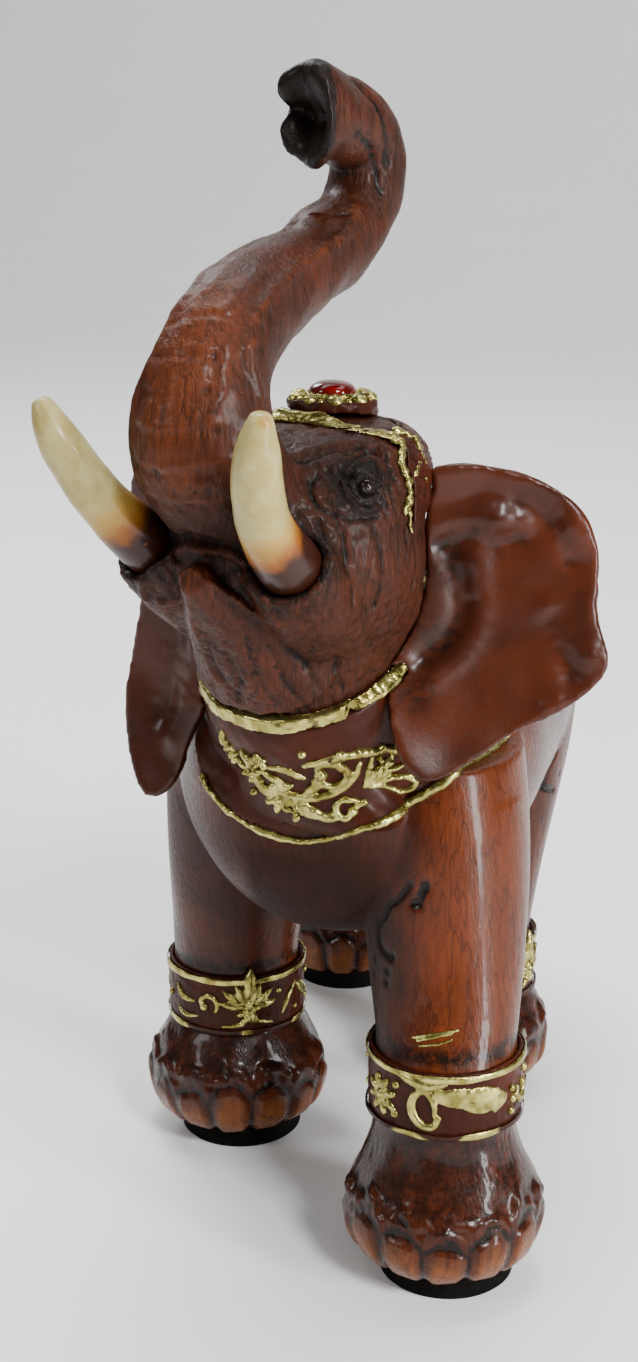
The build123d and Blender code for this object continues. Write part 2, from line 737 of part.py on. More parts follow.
def main():
    nodes = {name: Compound(as_solids(shape)) for name, shape in build().items()}
    box = Compound(list(nodes.values())).bounding_box()
    to_origin = Pos(-box.center().X, -box.center().Y, -box.min.Z)
    os.makedirs("parts", exist_ok=True)
    for name, shape in nodes.items():
        export_step(to_origin * shape, "parts/" + name + ".step")


main()
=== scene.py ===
"""The looks of the carved elephant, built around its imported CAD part.

Every size here is in millimetres, in the carver's frame: the elephant walks towards -Y, its own left is
+X, +Z is up, and the middle of the front left foot's pad is at PAD_PLACE. Places on the head are written
as (to its left, forward, height), in a frame that is turned with the head.
"""

import logging
import math
from collections.abc import Callable, Sequence
from dataclasses import dataclass, field
from enum import Enum

import bmesh
import bpy
import numpy as np
from mathutils import Matrix, Vector
from mathutils.bvhtree import BVHTree


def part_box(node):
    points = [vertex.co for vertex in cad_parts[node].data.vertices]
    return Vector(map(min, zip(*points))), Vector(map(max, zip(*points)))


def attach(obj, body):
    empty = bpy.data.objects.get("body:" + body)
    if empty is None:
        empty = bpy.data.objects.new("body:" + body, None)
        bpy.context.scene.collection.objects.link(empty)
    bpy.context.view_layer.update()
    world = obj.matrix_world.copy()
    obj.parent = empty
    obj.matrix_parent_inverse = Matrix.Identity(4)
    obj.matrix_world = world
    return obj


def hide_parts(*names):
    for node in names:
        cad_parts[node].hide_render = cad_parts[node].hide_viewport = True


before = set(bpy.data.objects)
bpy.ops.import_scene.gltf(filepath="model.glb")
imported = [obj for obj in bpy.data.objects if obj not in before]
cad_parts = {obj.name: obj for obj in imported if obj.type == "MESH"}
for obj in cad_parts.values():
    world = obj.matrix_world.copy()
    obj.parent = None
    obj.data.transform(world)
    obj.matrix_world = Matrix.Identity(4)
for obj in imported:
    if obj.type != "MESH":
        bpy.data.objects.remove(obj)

log = logging.getLogger("elephant")

MM = 0.001
MOST_TRIANGLES = 190000
PAD_PLACE = (30.5, -60.5)
HEAD_TURN = math.radians(20.0)
HEAD_PIVOT = -60.0

Place = tuple[float, float, float]
Colour = tuple[float, float, float]


# ---------------------------------------------------------------- frames
class Bench:
    """Turns the carver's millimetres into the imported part's metres, and back."""

    def __init__(self) -> None:
        """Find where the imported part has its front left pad."""
        low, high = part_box("foot_pad_front_left")
        middle = (low + high) / 2 / MM
        self.shift = np.array([middle.x - PAD_PLACE[0], middle.y - PAD_PLACE[1], low.z / MM])

    def metres(self, places: np.ndarray) -> np.ndarray:
        """Give places in the carver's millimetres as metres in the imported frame."""
        return (np.asarray(places, float) + self.shift) * MM

    def millimetres(self, places: np.ndarray) -> np.ndarray:
        """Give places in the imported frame's metres as the carver's millimetres."""
        return np.asarray(places, float) / MM - self.shift


bench = Bench()


def from_head(places: Sequence[Place]) -> np.ndarray:
    """Give places on the head in the carver's frame.

    Args:
        places: rows of (to its left, forward, height).

    Returns:
        Rows of x, y and z in millimetres.
    """
    rows = np.asarray(places, float).reshape(-1, 3)
    left, back, height = rows[:, 0], -rows[:, 1], rows[:, 2]
    cosine, sine = math.cos(HEAD_TURN), math.sin(HEAD_TURN)
    return np.stack([cosine * left + sine * back, cosine * back - sine * left + HEAD_PIVOT, height], axis=1)


def to_head(places: np.ndarray) -> np.ndarray:
    """Give carver's places as (to the head's left, forward, height).

    Args:
        places: rows of x, y and z in millimetres.

    Returns:
        Rows in the head's own frame.
    """
    x, y = places[:, 0], places[:, 1] - HEAD_PIVOT
    cosine, sine = math.cos(HEAD_TURN), math.sin(HEAD_TURN)
    return np.stack([cosine * x - sine * y, -(sine * x + cosine * y), places[:, 2]], axis=1)


def mirrored(path: Sequence[Place], side: int) -> list[Place]:
    """Give a path of the head's left side on its left, side 1, or its right, side -1."""
    return [(side * left, forward, height) for left, forward, height in path]


def wobble(places: np.ndarray, size: float, seed: int) -> np.ndarray:
    """Smooth random values in about -1 to 1.

    Args:
        places: rows of places in millimetres.
        size: the distance over which the value swings.
        seed: picks one pattern.

    Returns:
        One value for each place.
    """
    waves = 14
    dice = np.random.default_rng(seed)
    heading = dice.normal(size=(waves, 3))
    heading /= np.linalg.norm(heading, axis=1)[:, None]
    pitch = 2 * math.pi / size * dice.uniform(0.6, 1.5, waves)
    phase = dice.uniform(0, 2 * math.pi, waves)
    return np.sin(places @ (heading * pitch[:, None]).T + phase).sum(axis=1) / math.sqrt(2 * waves)


def ramp(values: np.ndarray, start: float, width: float) -> np.ndarray:
    """Rise from 0 at the start to 1 a width above it."""
    return np.clip((values - start) / width, 0, 1)


def fall(values: np.ndarray, start: float, width: float) -> np.ndarray:
    """Rise from 0 at the start to 1 a width below it."""
    return np.clip((start - values) / width, 0, 1)


def bell(values: np.ndarray, middle: float, width: float) -> np.ndarray:
    """Peak at 1 on the middle and fade on both sides of it."""
    return np.exp(-((values - middle) / width) ** 2)


def smooth_path(path: np.ndarray, step: float = 0.8) -> np.ndarray:
    """Run a smooth curve through the given places.

    Args:
        path: rows of places.
        step: the distance between the new places.

    Returns:
        Rows of closely set places on the curve.
    """
    rows = np.asarray(path, float)
    ends = np.vstack([2 * rows[0] - rows[1], rows, 2 * rows[-1] - rows[-2]])
    made = []
    for index in range(1, len(ends) - 2):
        a, b, c, d = ends[index - 1: index + 3]
        count = max(2, int(np.linalg.norm(c - b) / step))
        for share in np.arange(count) / count:
            made.append(0.5 * (2 * b + (c - a) * share + (2 * a - 5 * b + 4 * c - d) * share ** 2
                               + (3 * b - a - 3 * c + d) * share ** 3))
    made.append(rows[-1])
    return np.array(made)


# ---------------------------------------------------------------- meshes
def show(mesh: bpy.types.Mesh, name: str) -> bpy.types.Object:
    """Put a mesh in the scene as a piece.

    Args:
        mesh: the mesh, with its place in its vertices.
        name: the piece's name.

    Returns:
        The new object.
    """
    piece = bpy.data.objects.new(name, mesh)
    bpy.context.scene.collection.objects.link(piece)
    return piece


def show_shape(shape: bmesh.types.BMesh, name: str) -> bpy.types.Object:
    """Put a finished bmesh in the scene and free it.

    Args:
        shape: the shape in metres.
        name: the piece's name.

    Returns:
        The new object.
    """
    mesh = bpy.data.meshes.new(name)
    shape.to_mesh(mesh)
    shape.free()
    return show(mesh, name)


def merged_copy(node: str) -> bmesh.types.BMesh:
    """Copy a CAD piece and merge its loose triangles.

    Args:
        node: the CAD node's name.

    Returns:
        A closed bmesh.
    """
    shape = bmesh.new()
    shape.from_mesh(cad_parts[node].data)
    bmesh.ops.remove_doubles(shape, verts=shape.verts, dist=1e-6)
    return shape


def round_off(shape: bmesh.types.BMesh) -> None:
    """Shade every face of a shape smooth."""
    for face in shape.faces:
        face.smooth = True


def dab(shape: bmesh.types.BMesh, spot: Vector, radius: float) -> None:
    """Add one small ball to a shape, its middle in metres and its radius in millimetres."""
    matrix = Matrix.Translation(spot) @ Matrix.Scale(radius * MM, 4)
    bmesh.ops.create_icosphere(shape, subdivisions=2, radius=1.0, matrix=matrix)


def faces_of(name: str) -> BVHTree:
    """Give a finished piece's faces, to set other work on them."""
    return BVHTree.FromObject(bpy.data.objects[name], bpy.context.evaluated_depsgraph_get())


def cut_level(shape: bmesh.types.BMesh, height: float, above: bool) -> None:
    """Keep one side of a level cut and close it.

    Args:
        shape: the closed shape.
        height: the cut's height in millimetres.
        above: True keeps what is above the cut.
    """
    everything = [*shape.verts, *shape.edges, *shape.faces]
    bmesh.ops.bisect_plane(shape, geom=everything, dist=1e-7, plane_co=(0, 0, height * MM),
                           plane_no=(0, 0, 1), clear_inner=above, clear_outer=not above)
    open_edges = [edge for edge in shape.edges if edge.is_boundary]
    bmesh.ops.holes_fill(shape, edges=open_edges, sides=0)


def join(shapes: Sequence[bmesh.types.BMesh]) -> bmesh.types.BMesh:
    """Put several shapes in one bmesh and free them.

    Args:
        shapes: closed shapes that may overlap.

    Returns:
        One bmesh that holds them all.
    """
    whole = bmesh.new()
    for shape in shapes:
        holder = bpy.data.meshes.new("holder")
        shape.to_mesh(holder)
        whole.from_mesh(holder)
        bpy.data.meshes.remove(holder)
        shape.free()
    return whole


def keep_largest(shape: bmesh.types.BMesh) -> None:
    """Drop every island of a mesh but its largest.

    Args:
        shape: the mesh to clean.
    """
    unseen = set(shape.verts)
    largest: set[bmesh.types.BMVert] = set()
    while unseen:
        first = unseen.pop()
        island, front = {first}, [first]
        while front:
            vert = front.pop()
            for edge in vert.link_edges:
                other = edge.other_vert(vert)
                if other in unseen:
                    unseen.discard(other)
                    island.add(other)
                    front.append(other)
        if len(island) > len(largest):
            largest = island
    bmesh.ops.delete(shape, geom=[vert for vert in shape.verts if vert not in largest], context="VERTS")


def lump(place: Place, size: Place) -> bmesh.types.BMesh:
    """Make a rounded lump on the head.

    Args:
        place: its middle in the head's frame.
        size: its half width, half length and half height.

    Returns:
        The closed shape.
    """
    shape = bmesh.new()
    middle = Matrix.Translation(Vector(bench.metres(from_head([place])[0])))
    stretch = Matrix.Diagonal((*(half * MM for half in size), 1.0))
    matrix = middle @ Matrix.Rotation(-HEAD_TURN, 4, "Z") @ stretch
    bmesh.ops.create_icosphere(shape, subdivisions=4, radius=1.0, matrix=matrix)
    return shape


def finished_mesh(piece: bpy.types.Object) -> bpy.types.Mesh:
    """Take a piece's mesh with its modifiers applied, and drop the modifiers.

    Args:
        piece: the piece with live modifiers.

    Returns:
        The new mesh.
    """
    graph = bpy.context.evaluated_depsgraph_get()
    mesh = bpy.data.meshes.new_from_object(piece.evaluated_get(graph), depsgraph=graph)
    piece.modifiers.clear()
    return mesh


def swap_mesh(piece: bpy.types.Object, mesh: bpy.types.Mesh) -> None:
    """Give a piece another mesh and drop its old one.

    Args:
        piece: the piece.
        mesh: its new mesh.
    """
    old = piece.data
    piece.data = mesh
    mesh.name = piece.name
    bpy.data.meshes.remove(old)


def thin(piece: bpy.types.Object) -> None:
    """Merge a heavy skin's flattest faces until it has few enough triangles.

    Args:
        piece: the carved piece.
    """
    triangles = sum(len(face.vertices) - 2 for face in piece.data.polygons)
    if triangles <= MOST_TRIANGLES:
        return
    fewer = piece.modifiers.new("fewer", "DECIMATE")
    fewer.ratio = MOST_TRIANGLES / triangles
    swap_mesh(piece, finished_mesh(piece))


def wrap(shape: bmesh.types.BMesh, name: str, voxel: float, rounds: int,
         one: bool = True) -> bpy.types.Object:
    """Melt overlapping shapes into one even skin.

    Args:
        shape: closed shapes, freed here.
        name: the piece's name.
        voxel: the size of the skin's faces in millimetres.
        rounds: how often the skin is smoothed.
        one: True keeps only the largest island.

    Returns:
        The piece.
    """
    piece = show_shape(shape, name)
    melt = piece.modifiers.new("melt", "REMESH")
    melt.mode = "VOXEL"
    melt.voxel_size = voxel * MM
    melt.adaptivity = 0.0
    skin = finished_mesh(piece)
    shape = bmesh.new()
    shape.from_mesh(skin)
    if one:
        keep_largest(shape)
    for _ in range(rounds):
        bmesh.ops.smooth_vert(shape, verts=shape.verts, factor=0.5, use_axis_x=True, use_axis_y=True,
                              use_axis_z=True)
    bmesh.ops.recalc_face_normals(shape, faces=shape.faces)
    round_off(shape)
    shape.to_mesh(skin)
    shape.free()
    swap_mesh(piece, skin)
    return piece


class Carving:
    """A skin's points in millimetres, to press grooves into it, raise ridges on it, and mark stains, wear,
    warm tone, painted shade and painted highlights on it.
    """

    def __init__(self, piece: bpy.types.Object) -> None:
        """Read the skin.

        Args:
            piece: the piece to carve.
        """
        self.mesh = piece.data
        count = len(self.mesh.vertices)
        flat = np.empty(count * 3)
        self.mesh.vertices.foreach_get("co", flat)
        self.points = bench.millimetres(flat.reshape(-1, 3))
        self.mesh.vertices.foreach_get("normal", flat)
        self.normals = flat.reshape(-1, 3).copy()
        self.lift = np.zeros(count)
        self.recess = np.zeros(count)
        # rubbing: real wear, and partly a painted highlight on ridge tops and edges
        self.worn = np.zeros(count)
        # warm tone: the wood's own orange, and painted light on the front left leg's lit side
        self.warm = np.zeros(count)
        # painted shade: a darkening laid where shade falls on the figurine, not a colour of the wood
        self.shade = np.zeros(count)

    def on_skin(self, path: np.ndarray) -> np.ndarray:
        """Give the skin's points nearest to a smooth curve.

        Args:
            path: places near the skin.

        Returns:
            Places on the skin.
        """
        nearest = [np.argmin(((self.points - place) ** 2).sum(1)) for place in smooth_path(path)]
        return self.points[nearest]

    def near(self, path: np.ndarray, width: float) -> np.ndarray:
        """Weigh the points by how near they are to a curve on the skin.

        Args:
            path: places near the skin, in the carver's frame.
            width: the distance at which the weight has fallen to about a third.

        Returns:
            A weight from 0 to 1 for each point.
        """
        line = self.on_skin(path)
        inside = ((self.points > line.min(0) - 3 * width) & (self.points < line.max(0) + 3 * width)).all(1)
        some = self.points[inside]
        best = np.full(len(some), 1e9)
        for start, end in zip(line[:-1], line[1:]):
            run = end - start
            share = np.clip(((some - start) @ run) / max(run @ run, 1e-9), 0, 1)
            best = np.minimum(best, ((some - start - share[:, None] * run) ** 2).sum(1))
        weight = np.zeros(len(self.points))
        weight[inside] = np.exp(-best / width ** 2)
        return weight

    def groove(self, path: np.ndarray, width: float, depth: float, stain_and_shade: float = 1.0) -> None:
        """Press a rounded groove along a curve.

        Args:
            path: places near the skin.
            width: the groove's half width.
            depth: how deep it is.
            stain_and_shade: how dark it is stained, 0 to 1; in creases partly painted shade.
        """
        weight = self.near(path, width)
        self.lift -= depth * weight
        self.recess = np.maximum(self.recess, stain_and_shade * weight)

    def ridge(self, path: np.ndarray, width: float, height: float, rub_and_highlight: float = 0.6) -> None:
        """Raise a rounded ridge along a curve.

        Args:
            path: places near the skin.
            width: the ridge's half width.
            height: how high it stands.
            rub_and_highlight: how far its top is rubbed light, 0 to 1; partly a painted highlight.
        """
        weight = self.near(path, width)
        self.lift += height * weight
        self.worn = np.maximum(self.worn, rub_and_highlight * weight)

    def blob(self, place: np.ndarray, radius: float) -> np.ndarray:
        """Weigh the points from 1 at a place down to about a third at the radius."""
        return np.exp(-((self.points - np.asarray(place).reshape(3)) ** 2).sum(1) / radius ** 2)

    def stain_and_shade(self, weight: np.ndarray) -> None:
        """Darken the points by a weight: stains in the wood, and painted shade in hollows and corners."""
        self.recess = np.maximum(self.recess, np.clip(weight, 0, 1))

    def strokes(self, size: float, depth: float, seed: int, stretch: Place = (1, 1, 0.14),
                where: np.ndarray | float = 1.0) -> None:
        """Cut thin gouge lines that run along one direction.

        Args:
            size: the spacing of the lines.
            depth: how deep they are.
            seed: picks one pattern.
            stretch: how much the pattern is squeezed along x, y and z.
            where: a weight for each point.
        """
        swing = wobble(self.points * np.array(stretch), size, seed)
        patches = np.clip(0.6 + wobble(self.points, 9 * size, seed + 1), 0, 1)
        line = np.clip(1 - np.abs(swing) * 3.2, 0, 1) * patches
        self.lift -= depth * line * where
        self.recess = np.maximum(self.recess, 0.4 * line * where)

    def finish(self, cavity: float = 1.0) -> None:
        """Move the mesh's points and write the staining, the rubbing, the warm tone and the painted shade as
        attributes; the staining carries painted shade in places and the rubbing painted highlights.

        Args:
            cavity: how strongly hollows darken and edges lighten by their own shape; partly painted shade and
                painted highlight.
        """
        moved = self.points + self.normals * self.lift[:, None]
        self.mesh.vertices.foreach_set("co", bench.metres(moved).ravel())
        self.mesh.update()
        count = len(moved)
        ends = np.empty(len(self.mesh.edges) * 2, np.int64)
        self.mesh.edges.foreach_get("vertices", ends)
        first, second = ends.reshape(-1, 2).T
        number = np.bincount(first, minlength=count) + np.bincount(second, minlength=count)
        number = np.maximum(number, 1)

        def average(values: np.ndarray) -> np.ndarray:
            """Average each point's neighbours."""
            total = np.bincount(first, values[second], count) + np.bincount(second, values[first], count)
            return total / number

        flat = np.empty(count * 3)
        self.mesh.vertices.foreach_get("normal", flat)
        normals = flat.reshape(-1, 3)
        middle = moved.copy()
        for _ in range(5):
            middle = np.stack([average(middle[:, axis]) for axis in range(3)], axis=1)
        hollow = ((middle - moved) * normals).sum(1)
        hollow -= np.median(hollow)
        shades = (("recess", self.recess, hollow), ("worn", self.worn, -hollow),
                  ("warm", self.warm, 0 * hollow), ("shade", self.shade, 0 * hollow))
        for name, values, own in shades:
            layer = self.mesh.attributes.new(name, "FLOAT", "POINT")
            marked = np.clip(values + cavity * np.clip(own, 0, 1), 0, 1)
            layer.data.foreach_set("value", marked.astype(np.float32))


# ---------------------------------------------------------------- shader node groups
class Kind(Enum):
    """The socket kinds of the shared node groups."""

    VALUE = "NodeSocketFloat"
    VECTOR = "NodeSocketVector"
    COLOUR = "NodeSocketColor"


class Wiring:
    """Builds nodes in one node tree."""

    def __init__(self, tree: bpy.types.NodeTree) -> None:
        """Take the tree that gets the nodes.

        Args:
            tree: a material's tree or a group's.
        """
        self.tree = tree

    def node(self, kind: str, **values: object) -> bpy.types.Node:
        """Add a node.

        Args:
            kind: the node's type name.
            values: settings by attribute, or by input name with spaces as underscores. Sockets are linked.

        Returns:
            The new node.
        """
        made = self.tree.nodes.new(kind)
        for name, value in values.items():
            if hasattr(made, name) and name not in ("inputs", "outputs"):
                setattr(made, name, value)
        for name, value in values.items():
            if hasattr(made, name):
                continue
            key = int(name[1:]) if name[0] == "i" and name[1:].isdigit() else name.replace("_", " ")
            self.feed(made.inputs[key], value)
        return made

    def feed(self, socket: bpy.types.NodeSocket, value: object) -> None:
        """Link or set one input.

        Args:
            socket: the input.
            value: an output socket, a number or a colour.
        """
        if isinstance(value, bpy.types.NodeSocket):
            self.tree.links.new(value, socket)
        elif socket.type == "RGBA":
            socket.default_value = (*value[:3], 1.0)
        else:
            socket.default_value = value

    def math(self, operation: str, first: object, second: object = 0.0) -> bpy.types.NodeSocket:
        """Work out a clamped value from two others.

        Args:
            operation: the sum to do.
            first: a socket or a number.
            second: a socket or a number.

        Returns:
            The output socket.
        """
        made = self.node("ShaderNodeMath", operation=operation, use_clamp=True, i0=first, i1=second)
        return made.outputs[0]

    def blend(self, share: object, low: object, high: object) -> bpy.types.NodeSocket:
        """Mix two colours.

        Args:
            share: how much of the second colour is taken.
            low: the first colour.
            high: the second colour.

        Returns:
            The mixed colour's socket.
        """
        made = self.node("ShaderNodeMix", data_type="RGBA", blend_type="MIX", clamp_factor=True)
        self.feed(made.inputs[0], share)
        self.feed(made.inputs[6], low)
        self.feed(made.inputs[7], high)
        return made.outputs[2]

    def noise(self, where: bpy.types.NodeSocket, size: float, detail: float = 3.0,
              roughness: float = 0.55) -> bpy.types.NodeSocket:
        """Add smooth noise.

        Args:
            where: the place to read.
            size: the spacing of its spots in millimetres.
            detail: how many finer layers it has.
            roughness: how strong the finer layers are.

        Returns:
            The noise's value.
        """
        made = self.node("ShaderNodeTexNoise", Vector=where, Scale=1 / (size * MM), Detail=detail,
                         Roughness=roughness)
        return made.outputs["Fac"]

    def step(self, value: object, low: float, high: float) -> bpy.types.NodeSocket:
        """Give 0 below the low value, 1 above the high one and a smooth rise between.

        Args:
            value: the value to read.
            low: where the rise starts.
            high: where it ends.

        Returns:
            The output socket.
        """
        made = self.node("ShaderNodeMapRange", interpolation_type="SMOOTHSTEP", Value=value, From_Min=low,
                         From_Max=high)
        return made.outputs["Result"]

    def spread(self, noise: bpy.types.NodeSocket, low: float, high: float) -> bpy.types.NodeSocket:
        """Stretch the usual range of noise from a low number to a high one."""
        made = self.node("ShaderNodeMapRange", Value=noise, From_Min=0.3, From_Max=0.7, To_Min=low,
                         To_Max=high)
        return made.outputs["Result"]

    def bump(self, height: bpy.types.NodeSocket, strength: float, rise: float) -> bpy.types.NodeSocket:
        """Bend the shading by a height of at most the rise in millimetres."""
        made = self.node("ShaderNodeBump", Strength=strength, Distance=rise * MM, Height=height)
        return made.outputs["Normal"]

    def fill(self, node: bpy.types.Node, **values: object) -> None:
        """Link or set a node's inputs by name, with spaces as underscores."""
        for name, value in values.items():
            self.feed(node.inputs[name.replace("_", " ")], value)

    def group(self, group: bpy.types.NodeTree, **values: object) -> bpy.types.Node:
        """Place a shared group.

        Args:
            group: the group's tree.
            values: its inputs by name.

        Returns:
            The group's node.
        """
        made = self.tree.nodes.new("ShaderNodeGroup")
        made.node_tree = group
        self.fill(made, **values)
        return made


def new_group(name: str, takes: dict[str, Kind], gives: dict[str, Kind]) -> tuple[Wiring, dict, dict]:
    """Start a shared node group.

    Args:
        name: the group's name.
        takes: its inputs.
        gives: its outputs.

    Returns:
        The wiring, the input sockets by name and the output sockets by name.
    """
    tree = bpy.data.node_groups.new(name, "ShaderNodeTree")
    for label, kind in takes.items():
        tree.interface.new_socket(label, in_out="INPUT", socket_type=kind.value)
    for label, kind in gives.items():
        tree.interface.new_socket(label, in_out="OUTPUT", socket_type=kind.value)
    inside, outside = tree.nodes.new("NodeGroupInput"), tree.nodes.new("NodeGroupOutput")
    return (Wiring(tree), {label: inside.outputs[label] for label in takes},
            {label: outside.inputs[label] for label in gives})


def grain_group() -> bpy.types.NodeTree:
    """Make the group that draws streaks, blotches and fine grit over carved wood."""
    wires, takes, gives = new_group(
        "carved_grain", {"Where": Kind.VECTOR, "Stretch": Kind.VECTOR},
        {"Streaks": Kind.VALUE, "Blotches": Kind.VALUE, "Grit": Kind.VALUE, "Cracks": Kind.VALUE})
    pulled = wires.node("ShaderNodeVectorMath", operation="MULTIPLY", i0=takes["Where"], i1=takes["Stretch"])
    along = pulled.outputs[0]
    streaks = wires.noise(along, 1.1, 4.0, 0.6)
    wires.feed(gives["Streaks"], wires.step(streaks, 0.34, 0.68))
    wires.feed(gives["Blotches"], wires.step(wires.noise(takes["Where"], 15, 3.0, 0.6), 0.35, 0.68))
    wires.feed(gives["Grit"], wires.noise(takes["Where"], 0.7, 3.0, 0.7))
    swing = wires.noise(along, 3.4, 2.0, 0.5)
    apart = wires.node("ShaderNodeMath", operation="SUBTRACT", i0=swing, i1=0.5)
    line = wires.node("ShaderNodeMath", operation="ABSOLUTE", i0=apart.outputs[0])
    thin = wires.node("ShaderNodeMapRange", interpolation_type="SMOOTHSTEP", Value=line.outputs[0],
                      From_Min=0.004, From_Max=0.03, To_Min=1.0, To_Max=0.0)
    wires.feed(gives["Cracks"], thin.outputs["Result"])
    return wires.tree


def wear_and_painted_light_group() -> bpy.types.NodeTree:
    """Make the group that breaks up the stained hollows and the rubbed edges, which hold painted shade and
    painted highlights as well.
    """
    wires, takes, gives = new_group(
        "stain_and_wear", {"Where": Kind.VECTOR, "Recess": Kind.VALUE, "Worn": Kind.VALUE},
        {"Dark": Kind.VALUE, "Light": Kind.VALUE})
    spots = wires.noise(takes["Where"], 2.6, 4.0, 0.65)
    dark = wires.math("MULTIPLY", takes["Recess"], wires.step(spots, 0.2, 0.6))
    ink = wires.step(takes["Recess"], 0.86, 0.97)
    wires.feed(gives["Dark"], wires.math("MAXIMUM", wires.step(dark, 0.12, 0.62), ink))
    light = wires.math("MULTIPLY", takes["Worn"], wires.step(spots, 0.42, 0.62))
    wires.feed(gives["Light"], wires.step(light, 0.1, 0.7))
    return wires.tree


GRAIN = grain_group()
WEAR_AND_PAINTED_LIGHT = wear_and_painted_light_group()


def start_material(name: str) -> tuple[Wiring, bpy.types.Node, bpy.types.NodeSocket]:
    """Start a material with a Principled shader.

    Args:
        name: the material's name.

    Returns:
        The wiring, the shader and the place socket.
    """
    material = bpy.data.materials.new(name)
    material.use_nodes = True
    wires = Wiring(material.node_tree)
    shader = material.node_tree.nodes["Principled BSDF"]
    place = wires.node("ShaderNodeTexCoord").outputs["Object"]
    return wires, shader, place


def attribute(wires: Wiring, name: str) -> bpy.types.NodeSocket:
    """Read a value that a carving wrote on its points."""
    return wires.node("ShaderNodeAttribute", attribute_name=name).outputs["Fac"]


# ---------------------------------------------------------------- finishes
@dataclass(frozen=True)
class CarvedWood:
    """Varnished carved wood: red-brown, black in the cuts, orange where it is rubbed, with painted shade and
    painted highlights laid in by the carving's marks.
    """

    name: str
    base: Colour
    warm: Colour
    orange: Colour
    streak: float
    roughness: float
    gloss: float
    deep: Colour = (0.005, 0.002, 0.001)
    stretch: Place = (1.0, 1.0, 0.12)
    shine: float = 0.12
    coat: float = 0.1
    bump: float = 0.12

    def material(self) -> bpy.types.Material:
        """Build the material."""
        wires, shader, place = start_material(self.name)
        grain = wires.group(GRAIN, Where=place, Stretch=self.stretch)
        wear_and_painted_light = wires.group(WEAR_AND_PAINTED_LIGHT, Where=place, Recess=attribute(wires, "recess"),
                           Worn=attribute(wires, "worn"))
        streaks, blotches = grain.outputs["Streaks"], grain.outputs["Blotches"]
        ground = wires.blend(blotches, self.base, self.warm)
        # warm attribute: the wood's own orange, and painted light on the front left leg's lit side
        ground = wires.blend(wires.math("MULTIPLY", attribute(wires, "warm"), 0.8), ground, self.orange)
        shade = wires.math("MULTIPLY", wires.math("SUBTRACT", 1.0, streaks), self.streak)
        ground = wires.blend(shade, ground, self.deep)
        # lighter orange on rubbed ridges and edges: part wear, part painted highlight
        lit = wires.math("MULTIPLY", wear_and_painted_light.outputs["Light"], 0.45)
        ground = wires.blend(lit, ground, self.orange)
        ground = wires.blend(wires.math("MULTIPLY", grain.outputs["Cracks"], 0.4), ground, self.deep)
        # painted shade: the shade attribute darkens the wood towards deep, thins the varnish coat and
        # roughens it, so shaded places also lose their reflection
        painted_shade = attribute(wires, "shade")
        ground = wires.blend(wires.math("MULTIPLY", painted_shade, 0.85), ground, self.deep)
        # black in the cuts and stained hollows, partly painted shade
        ground = wires.blend(wear_and_painted_light.outputs["Dark"], ground, self.deep)
        rough = wires.spread(grain.outputs["Grit"], self.roughness - 0.08, self.roughness + 0.16)
        dull = wires.math("ADD", rough, wires.math("MULTIPLY", painted_shade, 0.35))
        varnish = wires.math("MULTIPLY", wires.math("SUBTRACT", 1.0, painted_shade), self.gloss)
        relief = wires.math("ADD", wires.math("MULTIPLY", streaks, 0.6),
                            wires.math("MULTIPLY", grain.outputs["Grit"], 0.4))
        relief = wires.math("SUBTRACT", relief, wires.math("MULTIPLY", grain.outputs["Cracks"], 0.35))
        wires.fill(shader, Base_Color=ground, Roughness=dull, Coat_Weight=varnish, Coat_Roughness=self.coat,
                   Specular_IOR_Level=self.shine, Normal=wires.bump(relief, self.bump, 0.9))
        return bpy.data.materials[self.name]


@dataclass(frozen=True)
class SatinWood:
    """Smooth stained wood with a soft shine and slow changes of tone."""

    name: str
    base: Colour
    warm: Colour
    deep: Colour = (0.008, 0.003, 0.0015)
    roughness: float = 0.3
    gloss: float = 0.14
    shine: float = 0.16

    def material(self) -> bpy.types.Material:
        """Build the material."""
        wires, shader, place = start_material(self.name)
        wear_and_painted_light = wires.group(WEAR_AND_PAINTED_LIGHT, Where=place, Recess=attribute(wires, "recess"),
                           Worn=attribute(wires, "worn"))
        slow = wires.step(wires.noise(place, 22, 3.0), 0.42, 0.75)
        fine = wires.noise(place, 1.2, 4.0, 0.65)
        slow = wires.math("MAXIMUM", slow, wires.math("MULTIPLY", attribute(wires, "warm"), 0.7))
        ground = wires.blend(slow, self.base, self.warm)
        ground = wires.blend(wires.math("MULTIPLY", wires.step(fine, 0.45, 0.75), 0.3), ground, self.deep)
        # lighter on rubbed rims and folds, partly a painted highlight; darker in the hollows below, partly
        # painted shade
        ground = wires.blend(wires.math("MULTIPLY", wear_and_painted_light.outputs["Light"], 0.5), ground,
                             tuple(1.5 * part for part in self.warm))
        ground = wires.blend(wear_and_painted_light.outputs["Dark"], ground, self.deep)
        rough = wires.spread(fine, self.roughness - 0.05, self.roughness + 0.12)
        wires.fill(shader, Base_Color=ground, Roughness=rough, Coat_Weight=self.gloss, Coat_Roughness=0.2,
                   Specular_IOR_Level=self.shine, Normal=wires.bump(fine, 0.12, 0.5))
        return bpy.data.materials[self.name]


